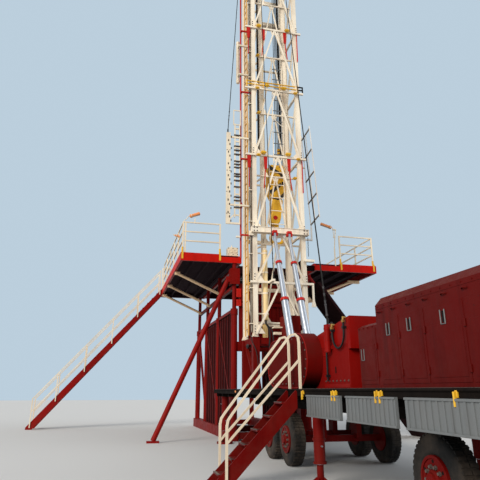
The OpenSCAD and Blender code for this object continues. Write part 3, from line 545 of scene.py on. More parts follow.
# What several paints share.
red = {"dust": (0.13, 0.055, 0.04), "chips": 0.5}
primer, darkPrimer = (0.05, 0.012, 0.01), (0.03, 0.008, 0.008)
cream = {"rough": 0.42, "dustAmount": 0.2, "bare": (0.30, 0.20, 0.12)}
steel = {"rough": 0.5, "chips": 0.0}
finishes = {
    "cream_paint": makeFinish("creamPaint", (0.98, 0.88, 0.71), dust=(0.55, 0.42, 0.28), streaks=0.4,
                              grime=0.45, chips=0.8, **cream),
    "rail_paint": makeFinish("railPaint", (0.93, 0.81, 0.61), dust=(0.5, 0.36, 0.24), streaks=0.3, grime=0.3,
                             chips=0.9, chipScale=30, **cream),
    "tan_paint": makeFinish("tanPaint", (0.92, 0.64, 0.23), 0.42, dustAmount=0.15, grime=0.4, chips=0.6),
    "ladder_paint": makeFinish("ladderPaint", (0.82, 0.48, 0.14), 0.5, dustAmount=0.2, chips=0.9),
    "red_paint": makeFinish("redPaint", (0.27, 0.004, 0.0025), 0.42, dustAmount=0.15, shine=0.09, bare=primer,
                            **red),
    "dark_red_paint": makeFinish("darkRedPaint", (0.165, 0.0035, 0.0025), 0.45, dustAmount=0.18, shine=0.06,
                                 bare=darkPrimer, **red),
    "floor_paint": makeFinish("floorPaint", (0.018, 0.004, 0.005), 0.9, dust=(0.05, 0.03, 0.03),
                              dustAmount=0.3, shine=0.08),
    "yellow_paint": makeFinish("yellowPaint", (0.88, 0.50, 0.02), 0.36, dustAmount=0.1, grime=0.4, chips=1.0,
                               bare=(0.05, 0.04, 0.035)),
    "orange_paint": makeFinish("orangePaint", (0.95, 0.36, 0.12), 0.4, dustAmount=0.1, chips=0.6),
    "frame_paint": makeFinish("framePaint", (0.008, 0.006, 0.005), 0.8, dust=(0.04, 0.03, 0.025), shine=0.06),
    "polished_steel": makeSteel("polishedSteel", (0.60, 0.65, 0.72), (0.50, 0.54, 0.60)),
    "zinc_steel": makeFinish("zincSteel", (0.20, 0.215, 0.22), metal=0.35, dustAmount=0.12, bump=0.1,
                             **steel),
    "cast_steel": makeFinish("castSteel", (0.05, 0.05, 0.055), metal=0.5, dustAmount=0.2, bump=0.3, **steel),
    "wire_rope": makeFinish("wireRope", (0.008, 0.007, 0.006), dustAmount=0.04, shine=0.2, **steel),
    "hose_rubber": makeFinish("hoseRubber", (0.006, 0.006, 0.007), 0.45, dustAmount=0.06, chips=0.0, bump=0.0,
                              shine=0.3),
    "tyre_rubber": makeFinish("tyreRubber", (0.012, 0.012, 0.012), 0.75, dust=(0.16, 0.12, 0.09),
                              dustAmount=0.45, chips=0.0, bump=0.2, shine=0.3),
    "block": makeFinish("blockPaint", (0.86, 0.49, 0.02), 0.36, dustAmount=0.06, grime=0.4, chips=1.0,
                        bare=(0.04, 0.03, 0.03)),
    "stripe": makeFinish("stripePaint", (0.012, 0.011, 0.011), 0.5, dustAmount=0.1, chips=0.4,
                         bare=(0.6, 0.3, 0.02)),
    "brightRed": makeFinish("brightRedPaint", (0.55, 0.012, 0.006), 0.36, dustAmount=0.1, grime=0.3,
                            shine=0.25, **red),
    "hoodRed": makeFinish("hoodRed", (0.115, 0.0035, 0.0025), 0.4, dust=red["dust"], dustAmount=0.12,
                          shine=0.07, streaks=0.6, chips=0.8, bare=(0.035, 0.01, 0.008), bump=0.4),
    # The drum guards' red; the flat outer face of the left guard gets painted shade, a darker red inside the
    # shade box.
    "drumRed": makeFinish("drumRed", (0.135, 0.003, 0.002), 0.5, dust=(0.03, 0.02, 0.015), dustAmount=0.3,
                          shine=0.05, grime=1.0, chips=0.5, bare=(0.03, 0.01, 0.008),
                          shadeColor=(0.085, 0.006, 0.005),
                          shade=spotBox((3.9, -1.74, 1.5), (6.8, -1.7035, 2.8))),
    # The winch housing's red; the lower part of its left side gets painted shade, a darker red inside the
    # shade box.
    "winchRed": makeFinish("winchRed", (0.27, 0.004, 0.0025), 0.42, dustAmount=0.12, shine=0.07, bare=primer,
                           shadeColor=(0.13, 0.0035, 0.003),
                           shade=spotBox((5.0, -1.45, 1.5), (7.81, -1.396, 2.36)), **red),
    "frameSide": makeFinish("sideFramePaint", (0.80, 0.78, 0.74), 0.45, dustAmount=0.2, chips=0.8),
    "greyBar": makeFinish("greyBar", (0.10, 0.09, 0.09), metal=0.2, dustAmount=0.2, **steel),
    "floorPlate": makeFinish("floorPlate", (0.10, 0.085, 0.08), 0.42, 0.6, dustAmount=0.35, chips=0.0,
                             bump=0.7, checks=14.0),
    "brass": makeFinish("brassFitting", (0.55, 0.34, 0.10), 0.3, 0.9, dustAmount=0.1, chips=0.0, bump=0.05),
    "boltSteel": makeFinish("boltSteel", (0.16, 0.13, 0.115), metal=0.5, bump=0.05, **steel),
    "wood": makeFinish("slatWood", (0.045, 0.030, 0.022), 0.7, dustAmount=0.2, chips=0.0, bump=0.3),
    "shadow": makeFinish("shadowGap", (0.006, 0.004, 0.004), 0.6, dustAmount=0.05, chips=0.0, shine=0.1),
    "tubeTan": makeFinish("tubeTan", (0.93, 0.72, 0.36), 0.38, dustAmount=0.08, streaks=0.3, grime=0.1,
                          chips=0.5),
    "strutTan": makeFinish("strutTan", (0.98, 0.70, 0.42), 0.45, dustAmount=0.12, grime=0.1, chips=0.6),
    "lens": makeLens("lampLens", (0.62, 0.62, 0.58), (0.42, 0.42, 0.40)),
}


# Each CAD node takes the finish of its slot, or one of its own where the photo shows another tone.
def dressNodes():
    own = {"travelling_block": "block", "hook": "block", "standpipe": "brightRed", "mast_guides": "brightRed",
           "raising_clevises": "brightRed", "engine_hood": "hoodRed", "side_frame": "frameSide",
           "drum_guard": "drumRed", "drawworks_housing": "winchRed", "wing_struts": "strutTan"}
    for part in frame["record"]["subparts"]:
        mesh = nodes[part["node"]].data
        mesh.materials.clear()
        mesh.materials.append(finishes[own.get(part["node"], part["material_slot"])])


# The wings are bright outside and unlit underneath, inside their edge beams and below the plate.
def dressWings():
    end, edge, plate = 0.08, 0.085, 0.004
    for nodeName in ("wing_left", "wing_right"):
        low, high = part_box(nodeName)
        shade = ((low.x + end, low.y + edge, low.z - 0.2), (high.x - edge, high.y - edge, high.z - plate))
        nodes[nodeName].data.materials[0] = makeFinish(
            nodeName + "Paint", (0.58, 0.009, 0.004), 0.4, dustAmount=0.10, grime=0.8, shine=0.07,
            bare=primer, shade=shade, **red)


# The sheets between the columns get painted shade: inside a box round each sheet the red is much darker than
# on the columns.
def dressColumns():
    sheet = {"left": -7.185, "right": -2.015, "half": 0.047, "low": 0.34, "high": 4.35}
    for nodeName, y in (("substructure_left", -1.15), ("substructure_right", 1.50)):
        nodes[nodeName].data.materials[0] = makeFinish(
            nodeName + "Paint", (0.20, 0.0035, 0.0025), 0.45, dustAmount=0.15, grime=0.8, shine=0.07,
            bare=darkPrimer, shadeColor=(0.030, 0.004, 0.004),
            shade=spotBox((sheet["left"], y - sheet["half"], sheet["low"]),
                          (sheet["right"], y + sheet["half"], sheet["high"])), **red)


dressNodes()
dressWings()
dressColumns()
print("finishes on the CAD nodes")


# Welded plates where the bars of a mast section meet: one in each corner, one under each girt.
def addFaceGussets(bm, heads, plate, low, high):
    x, half, gap = plate["x"], plate["half"], plate["gap"]
    front = x + plate["thick"] + plate["lift"]
    for side in (-1, 1):
        addFacePlate(bm, x, [(side * (half + plate["outer"]), low + gap),
                             (side * (half + plate["outer"]), low + plate["tall"]),
                             (side * (half - plate["inner"]), low + plate["tall"]),
                             (side * (half - plate["wide"]), low + gap)], plate["thick"])
        heads += [((front, side * (half + plate["boltOut"]), low + dz), (1, 0, 0))
                  for dz in plate["boltRise"]]
    (wide, narrow), tip = plate["apex"], high - plate["drop"]
    addFacePlate(bm, x, [(-wide, high - gap), (wide, high - gap), (narrow, tip), (-narrow, tip)],
                 plate["thick"])
    heads += [((front, y, high - plate["boltDrop"]), (1, 0, 0)) for y in plate["apexBolts"]]


def buildMastGussets():
    levels = (3.27, 4.9625, 6.725, 9.56, 12.315, 15.07, 17.825)
    plate = {"x": 0.030, "thick": 0.011, "half": 0.865, "gap": 0.03, "outer": 0.07, "inner": 0.10,
             "wide": 0.30, "tall": 0.30, "apex": (0.17, 0.11), "drop": 0.21, "lift": 0.005, "boltOut": 0.04,
             "boltRise": (0.08, 0.17, 0.26), "boltDrop": 0.08, "apexBolts": (-0.09, 0.0, 0.09)}
    cheek = {"legs": ((-0.15, -1), (-1.30, 1)), "inset": 0.005, "long": 0.26, "tip": 0.06, "wide": 0.24,
             "thick": 0.010}
    bm, heads = bmesh.new(), []
    for low, high in zip(levels, levels[1:]):
        addFaceGussets(bm, heads, plate, low, high)
        for side in (-1, 1):
            y = side * plate["half"] - cheek["inset"]
            for x, away in cheek["legs"]:
                for z, up in ((low + plate["gap"], 1), (high - plate["gap"], -1)):
                    end = z + up * cheek["long"]
                    addPlate(bm, [(x, y, z), (x, y, end), (x + away * cheek["tip"], y, end),
                                  (x + away * cheek["wide"], y, z)], (0, cheek["thick"], 0))
    finishPiece("mastGussets", bm, "cream_paint")
    boltPiece("mastBolts", heads, 0.013, 0.012)


def buildUpperGussets():
    levels = (3.68, 6.35, 8.9, 11.45, 14.0, 16.55, 18.43)
    plate = {"x": -0.300, "thick": 0.010, "half": 0.475, "gap": 0.02, "outer": 0.055, "inner": 0.09,
             "wide": 0.22, "tall": 0.22, "apex": (0.12, 0.08), "drop": 0.16, "lift": 0.004, "boltOut": 0.02,
             "boltRise": (0.07, 0.15), "boltDrop": 0, "apexBolts": ()}
    bm, heads = bmesh.new(), []
    for low, high in zip(levels, levels[1:]):
        addFaceGussets(bm, heads, plate, low, high)
    finishPiece("upperGussets", bm, "cream_paint", "upper_mast")
    boltPiece("upperBolts", heads, 0.011, 0.010, "upper_mast")


# A bolted clamp on a crossbar: its body, its strap and a bolt on each side.
def addClamp(bm, x, y, z, size):
    wide, tall, deep = size
    addBlock(bm, (x, y - wide / 2, z - tall / 2), (x + deep, y + wide / 2, z + tall / 2), 0.012)
    addBlock(bm, (x + deep, y - wide * 0.62, z - tall * 0.16),
             (x + deep + 0.02, y + wide * 0.62, z + tall * 0.16), 0.004)
    for side in (-1, 1):
        outer, inner = y + side * wide * 0.72, y + side * wide * 0.3
        addRod(bm, (x + deep * 0.4, outer, z), (x + deep * 0.4, inner, z), 0.016, 6)


def buildClamps():
    lowerFace, upperFace = 0.0705, -0.2595
    big = ((-0.39, 12.44), (0.28, 12.41), (0.37, 9.66), (-0.56, 9.64), (-0.67, 15.12), (0.50, 15.10))
    small = ((-0.74, 9.54), (0.76, 9.52), (-0.75, 12.30), (0.74, 12.27))
    upper = ((0.72, 8.9), (-0.62, 11.45), (-0.63, 14.0))
    bm, top = bmesh.new(), bmesh.new()
    for y, z in big:
        addClamp(bm, lowerFace, y, z, (0.16, 0.12, 0.09))
    for y, z in small:
        addClamp(bm, lowerFace, y, z, (0.11, 0.09, 0.07))
    for y, z in upper:
        addClamp(top, upperFace, y, z, (0.11, 0.10, 0.08))
    finishPiece("mastClamps", bm, "yellow_paint")
    finishPiece("upperMastClamps", top, "yellow_paint", "upper_mast")


# The clamps on the lines that hang in the mast: two sockets on a plate, and a pair of bolted bars.
def buildLineClamps():
    socket = [(0.045, 0.0), (0.045, 0.030), (0.075, 0.030), (0.10, 0.018), (0.16, 0.018), (0.16, 0.0)]
    bm = bmesh.new()
    for y in (-0.535, -0.58):
        addLathe(bm, (-0.52, y, 10.045), (0, 0, 1), socket, 16)
    addBlock(bm, (-0.575, -0.624, 10.0), (-0.558, -0.47, 10.095), 0.004)
    for y in (-0.60, -0.56, -0.50):
        addRod(bm, (-0.592, y, 10.047), (-0.57, y, 10.047), 0.012, 6)
    for z in (10.0, 10.13):
        addBlock(bm, (-0.602, 0.175, z - 0.042), (-0.506, 0.405, z + 0.042), 0.01)
        for y in (0.20, 0.26, 0.32, 0.38):
            addRod(bm, (-0.508, y, z), (-0.484, y, z), 0.016, 6)
    finishPiece("lineClamps", bm, "yellow_paint", "upper_mast")


# The yellow rail on the girt, with its posts and feet, and its dark end.
def buildSafetyRail():
    rail = {"x": 0.045, "left": -1.17, "right": 0.86, "end": 1.08, "bars": (12.6, 12.47), "foot": 12.345,
            "radius": 0.024, "postRadius": 0.0204, "endRadius": 0.026, "footHalf": 0.04, "footThick": 0.012,
            "inset": 0.02, "posts": (-0.5, 0.15)}
    x, foot, top = rail["x"], rail["foot"], rail["bars"][0]
    bm, dark = bmesh.new(), bmesh.new()
    for z in rail["bars"]:
        addRod(bm, (x, rail["left"], z), (x, rail["right"], z), rail["radius"], 12)
        addRod(dark, (x, rail["right"], z), (x, rail["end"], z), rail["radius"] * 1.15, 12)
    for y in (rail["left"] + rail["inset"], *rail["posts"], rail["right"] - rail["inset"]):
        addRod(bm, (x, y, foot), (x, y, top), rail["postRadius"], 10)
        addBlock(bm, (x - rail["footHalf"], y - rail["footHalf"], foot),
                 (x + rail["footHalf"], y + rail["footHalf"], foot + rail["footThick"]))
    last = rail["end"] - rail["inset"]
    addRod(dark, (x, last, foot), (x, last, top), rail["endRadius"], 10)
    finishPiece("safetyRail", bm, "yellow_paint")
    finishPiece("safetyRailEnd", dark, "frame_paint")


# Black bands and a frame of bolts on the front and back of the block.
def buildBlockMarks():
    block = {"front": -0.515, "back": -0.915, "skin": 0.004, "lift": 0.006, "hub": (0.13, 9.02),
             "sides": (-0.192, 0.44)}
    bands = (((-0.18, 9.33), (-0.18, 9.49), (0.44, 9.10), (0.44, 8.93)),
             ((0.30, 8.86), (0.44, 8.80), (0.44, 8.66), (0.30, 8.72)),
             ((-0.18, 8.44), (-0.11, 8.30), (0.32, 8.70), (0.26, 8.80)),
             ((0.16, 8.185), (0.32, 8.185), (0.42, 8.36), (0.38, 8.44)))
    bolts = ((-0.13, 9.28), (-0.13, 8.98), (-0.13, 8.62), (0.39, 9.28), (0.39, 8.98), (0.39, 8.6),
             (-0.04, 8.28), (0.30, 8.28), (0.02, 9.43), (0.24, 9.43))
    cap = [(0.0, 0.13), (0.018, 0.13), (0.022, 0.10), (0.022, 0.06), (0.032, 0.055), (0.032, 0.0)]
    marks, bm, heads = bmesh.new(), bmesh.new(), []
    for band in bands:
        for x in (block["front"], block["back"] - block["skin"]):
            addFacePlate(marks, x, band, block["skin"])
    for x, away in ((block["front"], 1), (block["back"], -1)):
        addLathe(bm, (x, *block["hub"]), (away, 0, 0), cap, 24)
        heads += [((x + away * block["lift"], y, z), (away, 0, 0)) for y, z in bolts]
    for y in block["sides"]:
        addBlock(bm, (-0.80, y, 8.62), (-0.63, y + 0.006, 9.30), 0.002)
    finishPiece("blockBands", marks, "stripe", "upper_mast")
    finishPiece("blockCheeks", bm, "block", "upper_mast")
    boltPiece("blockBolts", heads, 0.018, 0.014, "upper_mast")


# The hook: a swelling body that leans a little, a round link and a bowl that is open on one side.
def buildHook():
    hook = {"x": -0.715, "y": 0.13, "half": 0.205, "bowl": 6.72, "bowlRadius": 0.225, "rod": 0.055,
            "edge": 0.035, "neck": 0.065}
    outline = [(-0.075, 8.142), (-0.075, 8.03), (-0.045, 7.90), (-0.030, 7.76), (-0.070, 7.62),
               (-0.125, 7.50), (-0.135, 7.38), (-0.095, 7.27), (-0.020, 7.20), (0.070, 7.18),
               (0.150, 7.21), (0.215, 7.29), (0.245, 7.42), (0.260, 7.60), (0.270, 7.78),
               (0.305, 7.92), (0.335, 8.03), (0.335, 8.142)]
    collar = [(0, 0.05), (0.158, 0.05), (0.158, 0.085), (0.215, 0.085), (0.215, 0.0)]
    x, y, reach = hook["x"], hook["y"], hook["bowlRadius"]
    bm = bmesh.new()
    addFacePlate(bm, x - hook["half"], outline, 2 * hook["half"])
    rims = [e for e in bm.edges if abs(e.verts[0].co.x - e.verts[1].co.x) < 1e-5]
    bmesh.ops.bevel(bm, geom=rims, offset=hook["edge"], offset_type="OFFSET", segments=4, profile=0.5,
                    affect="EDGES")
    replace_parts(finishPiece("hookBody", bm, "block", "hook", smooth=True), "hook")
    bm = bmesh.new()
    addLathe(bm, (x, y, 8.10), (0, 0, 1), collar, 32)
    addBlock(bm, (x - hook["neck"], 0.055, 6.97), (x + hook["neck"], 0.205, 7.26), 0.02)
    bowl = [(x, y + reach * math.cos(t), hook["bowl"] + reach * math.sin(t))
            for t in arc(math.radians(82), math.radians(290), 40)]
    addPath(bm, bowl, hook["rod"], 16)
    finishPiece("hookBowl", bm, "block", "hook", smooth=True)


# The hook's cheek plates, its red pin and a latch across the bowl.
def buildHookParts():
    cheek = {"front": -0.510, "back": -0.920, "pin": (0.03, 7.42), "radius": 0.120, "thick": 0.012}
    cap = [(0, 0.080), (0.008, 0.080), (0.008, 0.058), (0.012, 0.056), (0.012, 0.045), (0.003, 0.040),
           (0.003, 0.0)]
    swivel = [(0, 0.200), (0.012, 0.208), (0.03, 0.208), (0.042, 0.198)]
    y, z = cheek["pin"]
    outline = [(y + cheek["radius"] * math.cos(t), z + cheek["radius"] * math.sin(t))
               for t in arc(math.pi, math.pi, 16)] + [(y + 0.15, z + 0.30), (y + 0.02, z + 0.33)]
    bm, pins, latch = bmesh.new(), bmesh.new(), bmesh.new()
    for x, away in ((cheek["front"], 1), (cheek["back"], -1)):
        addFacePlate(bm, x, outline, away * cheek["thick"])
        addLathe(pins, (x + away * cheek["thick"], y, z), (away, 0, 0), cap, 28)
    addBlock(latch, (-0.735, 0.262, 6.80), (-0.695, 0.280, 7.02), 0.006)
    addRod(latch, (-0.765, 0.268, 7.02), (-0.665, 0.268, 7.02), 0.022, 12)
    addBlock(latch, (-0.755, 0.19, 6.99), (-0.675, 0.28, 7.03), 0.006)
    addLathe(latch, (-0.715, 0.13, 8.142), (0, 0, -1), swivel, 32)
    finishPiece("hookCheeks", bm, "block", "hook")
    finishPiece("hookPin", pins, "brightRed", "hook", smooth=True)
    finishPiece("hookLatch", latch, "cast_steel", "hook")


# Hoses, a conduit and brackets that run up the left side of the mast, and a chain on the right.
def buildConduits():
    run = {"low": 3.35, "top": 17.7, "x": -0.05, "hoses": ((-0.985, 0.016), (-1.03, 0.011)),
           "conduit": (-0.12, -0.995, 0.020), "clips": 13, "firstClip": 3.6, "clipStep": 1.15,
           "clipThick": 0.028}
    tail = [(-0.05, -1.03, 3.4), (0.0, -1.02, 3.1), (0.10, -0.90, 2.75), (0.12, -0.84, 2.3),
            (0.10, -0.80, 1.622)]
    chain = {"y": 0.985, "low": 5.92, "links": 16, "step": 0.042}
    hoses, clips, links = bmesh.new(), bmesh.new(), bmesh.new()
    for y, radius in run["hoses"]:
        addRod(hoses, (run["x"], y, run["low"]), (run["x"], y, run["top"]), radius, 10)
    addPath(hoses, smoothPath(tail), 0.014, 8)
    x, y, radius = run["conduit"]
    addRod(clips, (x, y, run["low"]), (x, y, run["top"]), radius, 12)
    for k in range(run["clips"]):
        z = run["firstClip"] + k * run["clipStep"]
        addBlock(clips, (-0.15, -1.055, z), (-0.02, -0.94, z + run["clipThick"]), 0.003)
    addBlock(clips, (-0.125, -1.51, 6.46), (-0.06, -1.37, 6.52), 0.004)
    addBlock(clips, (0.0705, 0.80, 5.70), (0.20, 1.16, 5.78), 0.004)
    for k in range(chain["links"]):
        axis = (1, 0, 0) if k % 2 else (0, 1, 0)
        addRing(links, (0.11, chain["y"], chain["low"] + k * chain["step"]), axis, 0.020, 0.012, 0.010, 12)
    finishPiece("mastHoses", hoses, "hose_rubber")
    finishPiece("conduitClips", clips, "cream_paint")
    finishPiece("hangingChain", links, "wire_rope")


# Slats and stiffeners of the racking board, rung sleeves of the frame on the other side, and the
# bands and ends of the counterweight.
def buildBoards():
    slat = {"x": (-0.127, -0.065), "y": (-1.59, -1.36), "half": 0.028,
            "heights": (10.31, 9.87, 9.71, 9.55, 9.28, 9.16, 9.04, 8.79, 8.70, 8.54, 8.30, 7.92, 7.79, 7.54)}
    tab = {"count": 22, "low": 7.0, "step": 0.152, "y": -1.715, "shift": 0.05, "wide": 0.035, "tall": 0.075}
    rungs = ((1.29, 10.90), (1.33, 10.05), (1.39, 9.17), (1.44, 8.31), (1.51, 7.50))
    weight = {"x": -0.32, "y": -1.40, "bands": (12.75, 13.3, 13.95, 14.45), "ends": ((12.67, -1), (14.52, 1))}
    dome = [(0, 0.06), (0.012, 0.058), (0.022, 0.04), (0.024, 0.0)]
    slats, bars, bands = bmesh.new(), bmesh.new(), bmesh.new()
    for z in slat["heights"]:
        addBlock(slats, (slat["x"][0], slat["y"][0], z - slat["half"]),
                 (slat["x"][1], slat["y"][1], z + slat["half"]), 0.004)
    for k in range(tab["count"]):
        y, z = tab["y"] - tab["shift"] * (k % 3), tab["low"] + k * tab["step"]
        addBlock(slats, (-0.075, y, z), (-0.069, y + tab["wide"], z + tab["tall"]))
    heads = [((-0.0745, y, z), (1, 0, 0)) for z in (7.3, 8.1, 8.9, 9.7) for y in (-1.845, -1.745)]
    for y, z in rungs:
        addRod(bars, (0.0, y, z), (-0.65, y - 0.08, z - 0.20), 0.026, 10)
    for z in weight["bands"]:
        addRing(bands, (weight["x"], weight["y"], z), (0, 0, 1), 0.071, 0.064, 0.05, 28)
    for z, away in weight["ends"]:
        addLathe(bands, (weight["x"], weight["y"], z), (0, 0, away), dome, 28)
    finishPiece("boardSlats", slats, "wood")
    boltPiece("boardBolts", heads, 0.012, 0.01)
    finishPiece("frameRungs", bars, "greyBar")
    finishPiece("counterweightBands", bands, "rail_paint")


# Swaged ends and clips of the stays, and the turnbuckle of the long one.
def buildStayFittings():
    longTop, longFoot = Vector((0.15, 0.40, 17.6)), Vector((6.79, -1.31, 2.85))
    stays = ((longTop, longFoot), (Vector((0.42, -0.68, 17.6)), Vector((0.42, -0.38, 5.06))),
             (Vector((0.035, -1.42, 17.7)), Vector((-0.1, -1.82, 10.46))))
    clip = {"places": (0.45, 0.62, 0.79), "long": 0.05, "radius": 0.017, "low": Vector((0.006, 0.020, 0.006)),
            "high": Vector((0.016, 0.020, 0.016))}
    bm = bmesh.new()
    for a, b in stays:
        ahead, reach = (b - a).normalized(), (b - a).length
        for place in clip["places"]:
            for p in (a + ahead * place, a + ahead * (reach - place)):
                addRod(bm, p, p + ahead * clip["long"], clip["radius"], 8)
                addBlock(bm, p - clip["low"], p + clip["high"])
    ahead = (longTop - longFoot).normalized()
    for low, high, radius in ((0.10, 0.14, 0.024), (0.14, 0.34, 0.017), (0.34, 0.38, 0.024)):
        addRod(bm, longFoot + ahead * low, longFoot + ahead * high, radius, 12)
    finishPiece("stayFittings", bm, "cast_steel")


# End plates, lips, ribs and bolts on the white beam that the cylinders push, and its clevis pins.
def buildBeamParts():
    beam = {"face": 0.2003, "back": 0.01, "low": 6.6225, "high": 6.8275, "left": -1.03, "right": 1.0,
            "lip": 0.016, "out": 0.022, "end": 0.018, "skin": 0.002, "rib": 0.006}
    pin = {"x": 0.29, "z": 6.545, "half": 0.10, "radius": 0.036, "nut": (0.088, 0.104, 0.05),
           "tab": (0.345, 0.375, 6.50, 6.60), "tabAt": 0.076, "tabHalf": 0.012}
    x, low, high, skin = beam["face"], beam["low"], beam["high"], beam["skin"]
    bm, pins = bmesh.new(), bmesh.new()
    for z in (low, high - beam["lip"]):
        addBlock(bm, (x - skin, beam["left"], z), (x + beam["out"], beam["right"], z + beam["lip"]), skin)
    for y in (beam["left"], beam["right"] - beam["end"]):
        addBlock(bm, (beam["back"], y - skin, low + 0.01), (x + 0.012, y + 0.02, high - 0.01), skin)
    for y in (-0.60, -0.02, 0.62):
        addBlock(bm, (x, y - beam["rib"], low + beam["lip"]),
                 (x + beam["end"], y + beam["rib"], high - beam["lip"]))
    near, far, radius = pin["nut"]
    x0, x1, z0, z1 = pin["tab"]
    for y in (-0.265, 0.25):
        addRod(pins, (pin["x"], y - pin["half"], pin["z"]), (pin["x"], y + pin["half"], pin["z"]),
               pin["radius"], 20)
        for side in (-1, 1):
            addRod(pins, (pin["x"], y + side * near, pin["z"]), (pin["x"], y + side * far, pin["z"]),
                   radius, 6)
            middle = y + side * pin["tabAt"]
            addBlock(pins, (x0, middle - pin["tabHalf"], z0), (x1, middle + pin["tabHalf"], z1), 0.004)
    heads = [((x + 0.006, y, z), (1, 0, 0)) for y in (-0.95, -0.85, 0.83, 0.93) for z in (6.67, 6.78)]
    finishPiece("beamLips", bm, "cream_paint")
    finishPiece("clevisPins", pins, "brightRed")
    boltPiece("beamBolts", heads, 0.017, 0.014)


# The line of the raising cylinders, and where their stages end as shares of it.
ram = {"top": (0.29, 6.44), "low": (2.05, 1.90), "ys": (-0.265, 0.25), "steps": (0.2, 0.48),
       "radii": (0.055, 0.0825, 0.110)}


# Three smooth stages of each raising cylinder, with its eye, foot cheeks and pin.
def buildCylinders():
    (x0, z0), (x1, z1) = ram["top"], ram["low"]
    thin, middle, wide = ram["radii"]
    foot = {"z": 1.88, "out": 0.122, "half": 0.011, "pin": 0.140, "nut": (0.134, 0.150)}
    cheek = [(1.90, 1.64), (2.20, 1.64), (2.15, 1.90), (2.09, 1.96), (2.01, 1.96), (1.95, 1.90)]
    axis = Vector((x1 - x0, 0, z1 - z0))
    reach = axis.length
    a, b = (reach * share for share in ram["steps"])
    stages = [(0, 0.0), (0, thin), (a, thin), (a, middle - 0.008), (a + 0.008, middle), (b, middle),
              (b, wide - 0.010), (b + 0.010, wide), (reach, wide), (reach, 0.0)]
    tubes, feet = bmesh.new(), bmesh.new()
    for y in ram["ys"]:
        addLathe(tubes, (x0, y, z0), axis, stages, 48)
        addBlock(tubes, (x0 - 0.045, y - 0.045, 6.40), (x0 + 0.045, y + 0.045, 6.598), 0.012)
        addBlock(feet, (1.87, y - 0.14, 1.6205), (2.23, y + 0.14, 1.648), 0.006)
        for side in (-1, 1):
            near = y + side * foot["out"] - foot["half"]
            addPlate(feet, [(x, near, z) for x, z in cheek], (0, 2 * foot["half"], 0))
            inner, outer = (y + side * out for out in foot["nut"])
            addRod(feet, (x1, inner, foot["z"]), (x1, outer, foot["z"]), 0.045, 6)
        addRod(feet, (x1, y - foot["pin"], foot["z"]), (x1, y + foot["pin"], foot["z"]), 0.034, 20)
    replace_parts(finishPiece("cylinderTubes", tubes, "polished_steel", smooth=True), "raising_cylinders")
    finishPiece("cylinderFeet", feet, "dark_red_paint")


# Red glands with bolt circles and steel bands on the raising cylinders.
def buildCylinderParts():
    glands = ((0.2, 0.1085), (0.48, 0.1360))
    gland = {"bands": (0.022, 0.07), "thick": 0.010, "inset": 0.014, "low": -0.002, "high": 0.014,
             "bolt": 0.010}
    top = Vector((ram["top"][0], 0, ram["top"][1]))
    low = Vector((ram["low"][0], 0, ram["low"][1]))
    ahead, reach = (low - top).normalized(), (low - top).length
    across = Vector((0, 1, 0))
    upward = ahead.cross(across)
    bands = ((reach * 0.95, 0.05, 0.118), (reach * 0.49 + 0.03, 0.03, 0.116),
             (reach * 0.215, reach * 0.007, 0.087))
    bm, bolts = bmesh.new(), bmesh.new()
    for y in ram["ys"]:
        start = top + across * y
        for share, radius in glands:
            end = start + ahead * (reach * share)
            for offset in gland["bands"]:
                addRod(bm, end + ahead * offset, end + ahead * (offset + gland["thick"]), radius, 32)
            for t in turns(8):
                out = (across * math.cos(t) + upward * math.sin(t)) * (radius - gland["inset"])
                addRod(bolts, end + ahead * gland["low"] + out, end + ahead * gland["high"] + out,
                       gland["bolt"], 6)
        for distance, long, radius in bands:
            addRod(bolts, start + ahead * distance, start + ahead * (distance + long), radius, 32)
    finishPiece("cylinderGlands", bm, "brightRed")
    finishPiece("cylinderBolts", bolts, "zinc_steel")


# Light rungs and a tie between the legs of the upper mast.
def buildUpperRungs():
    rung = {"x": -0.272, "left": -0.06, "right": 0.34, "foot": 9.3, "low": 9.80, "step": 0.46, "count": 9,
            "over": 0.1, "radius": 0.016, "tie": (11.3, 10.95)}
    x, left, right = rung["x"], rung["left"], rung["right"]
    growPiece("upperRungs", "rows", [(x, (left + right) / 2, rung["low"])], "zinc_steel", "upper_mast",
              count=rung["count"], step=(0, 0, rung["step"]), barSize=(0.022, right - left, 0.030))
    top = rung["low"] + rung["step"] * (rung["count"] - 1) + rung["over"]
    bm = bmesh.new()
    for y in (left, right):
        addRod(bm, (x, y, rung["foot"]), (x, y, top), rung["radius"], 8)
    addRod(bm, (x + 0.012, left, rung["tie"][0]), (x + 0.012, right, rung["tie"][1]), 0.012, 8)
    finishPiece("upperRungRails", bm, "cream_paint", "upper_mast")


# Thick greased lines that hang inside the upper mast.
def buildHeavyLines():
    bm = bmesh.new()
    for y, low, top, radius in ((0.29, 9.95, 18.5, 0.036), (-0.555, 10.1, 18.4, 0.030)):
        addRod(bm, (-0.50, y, low), (-0.50, y, top), radius, 12)
    finishPiece("heavyLines", bm, "wire_rope", "upper_mast")


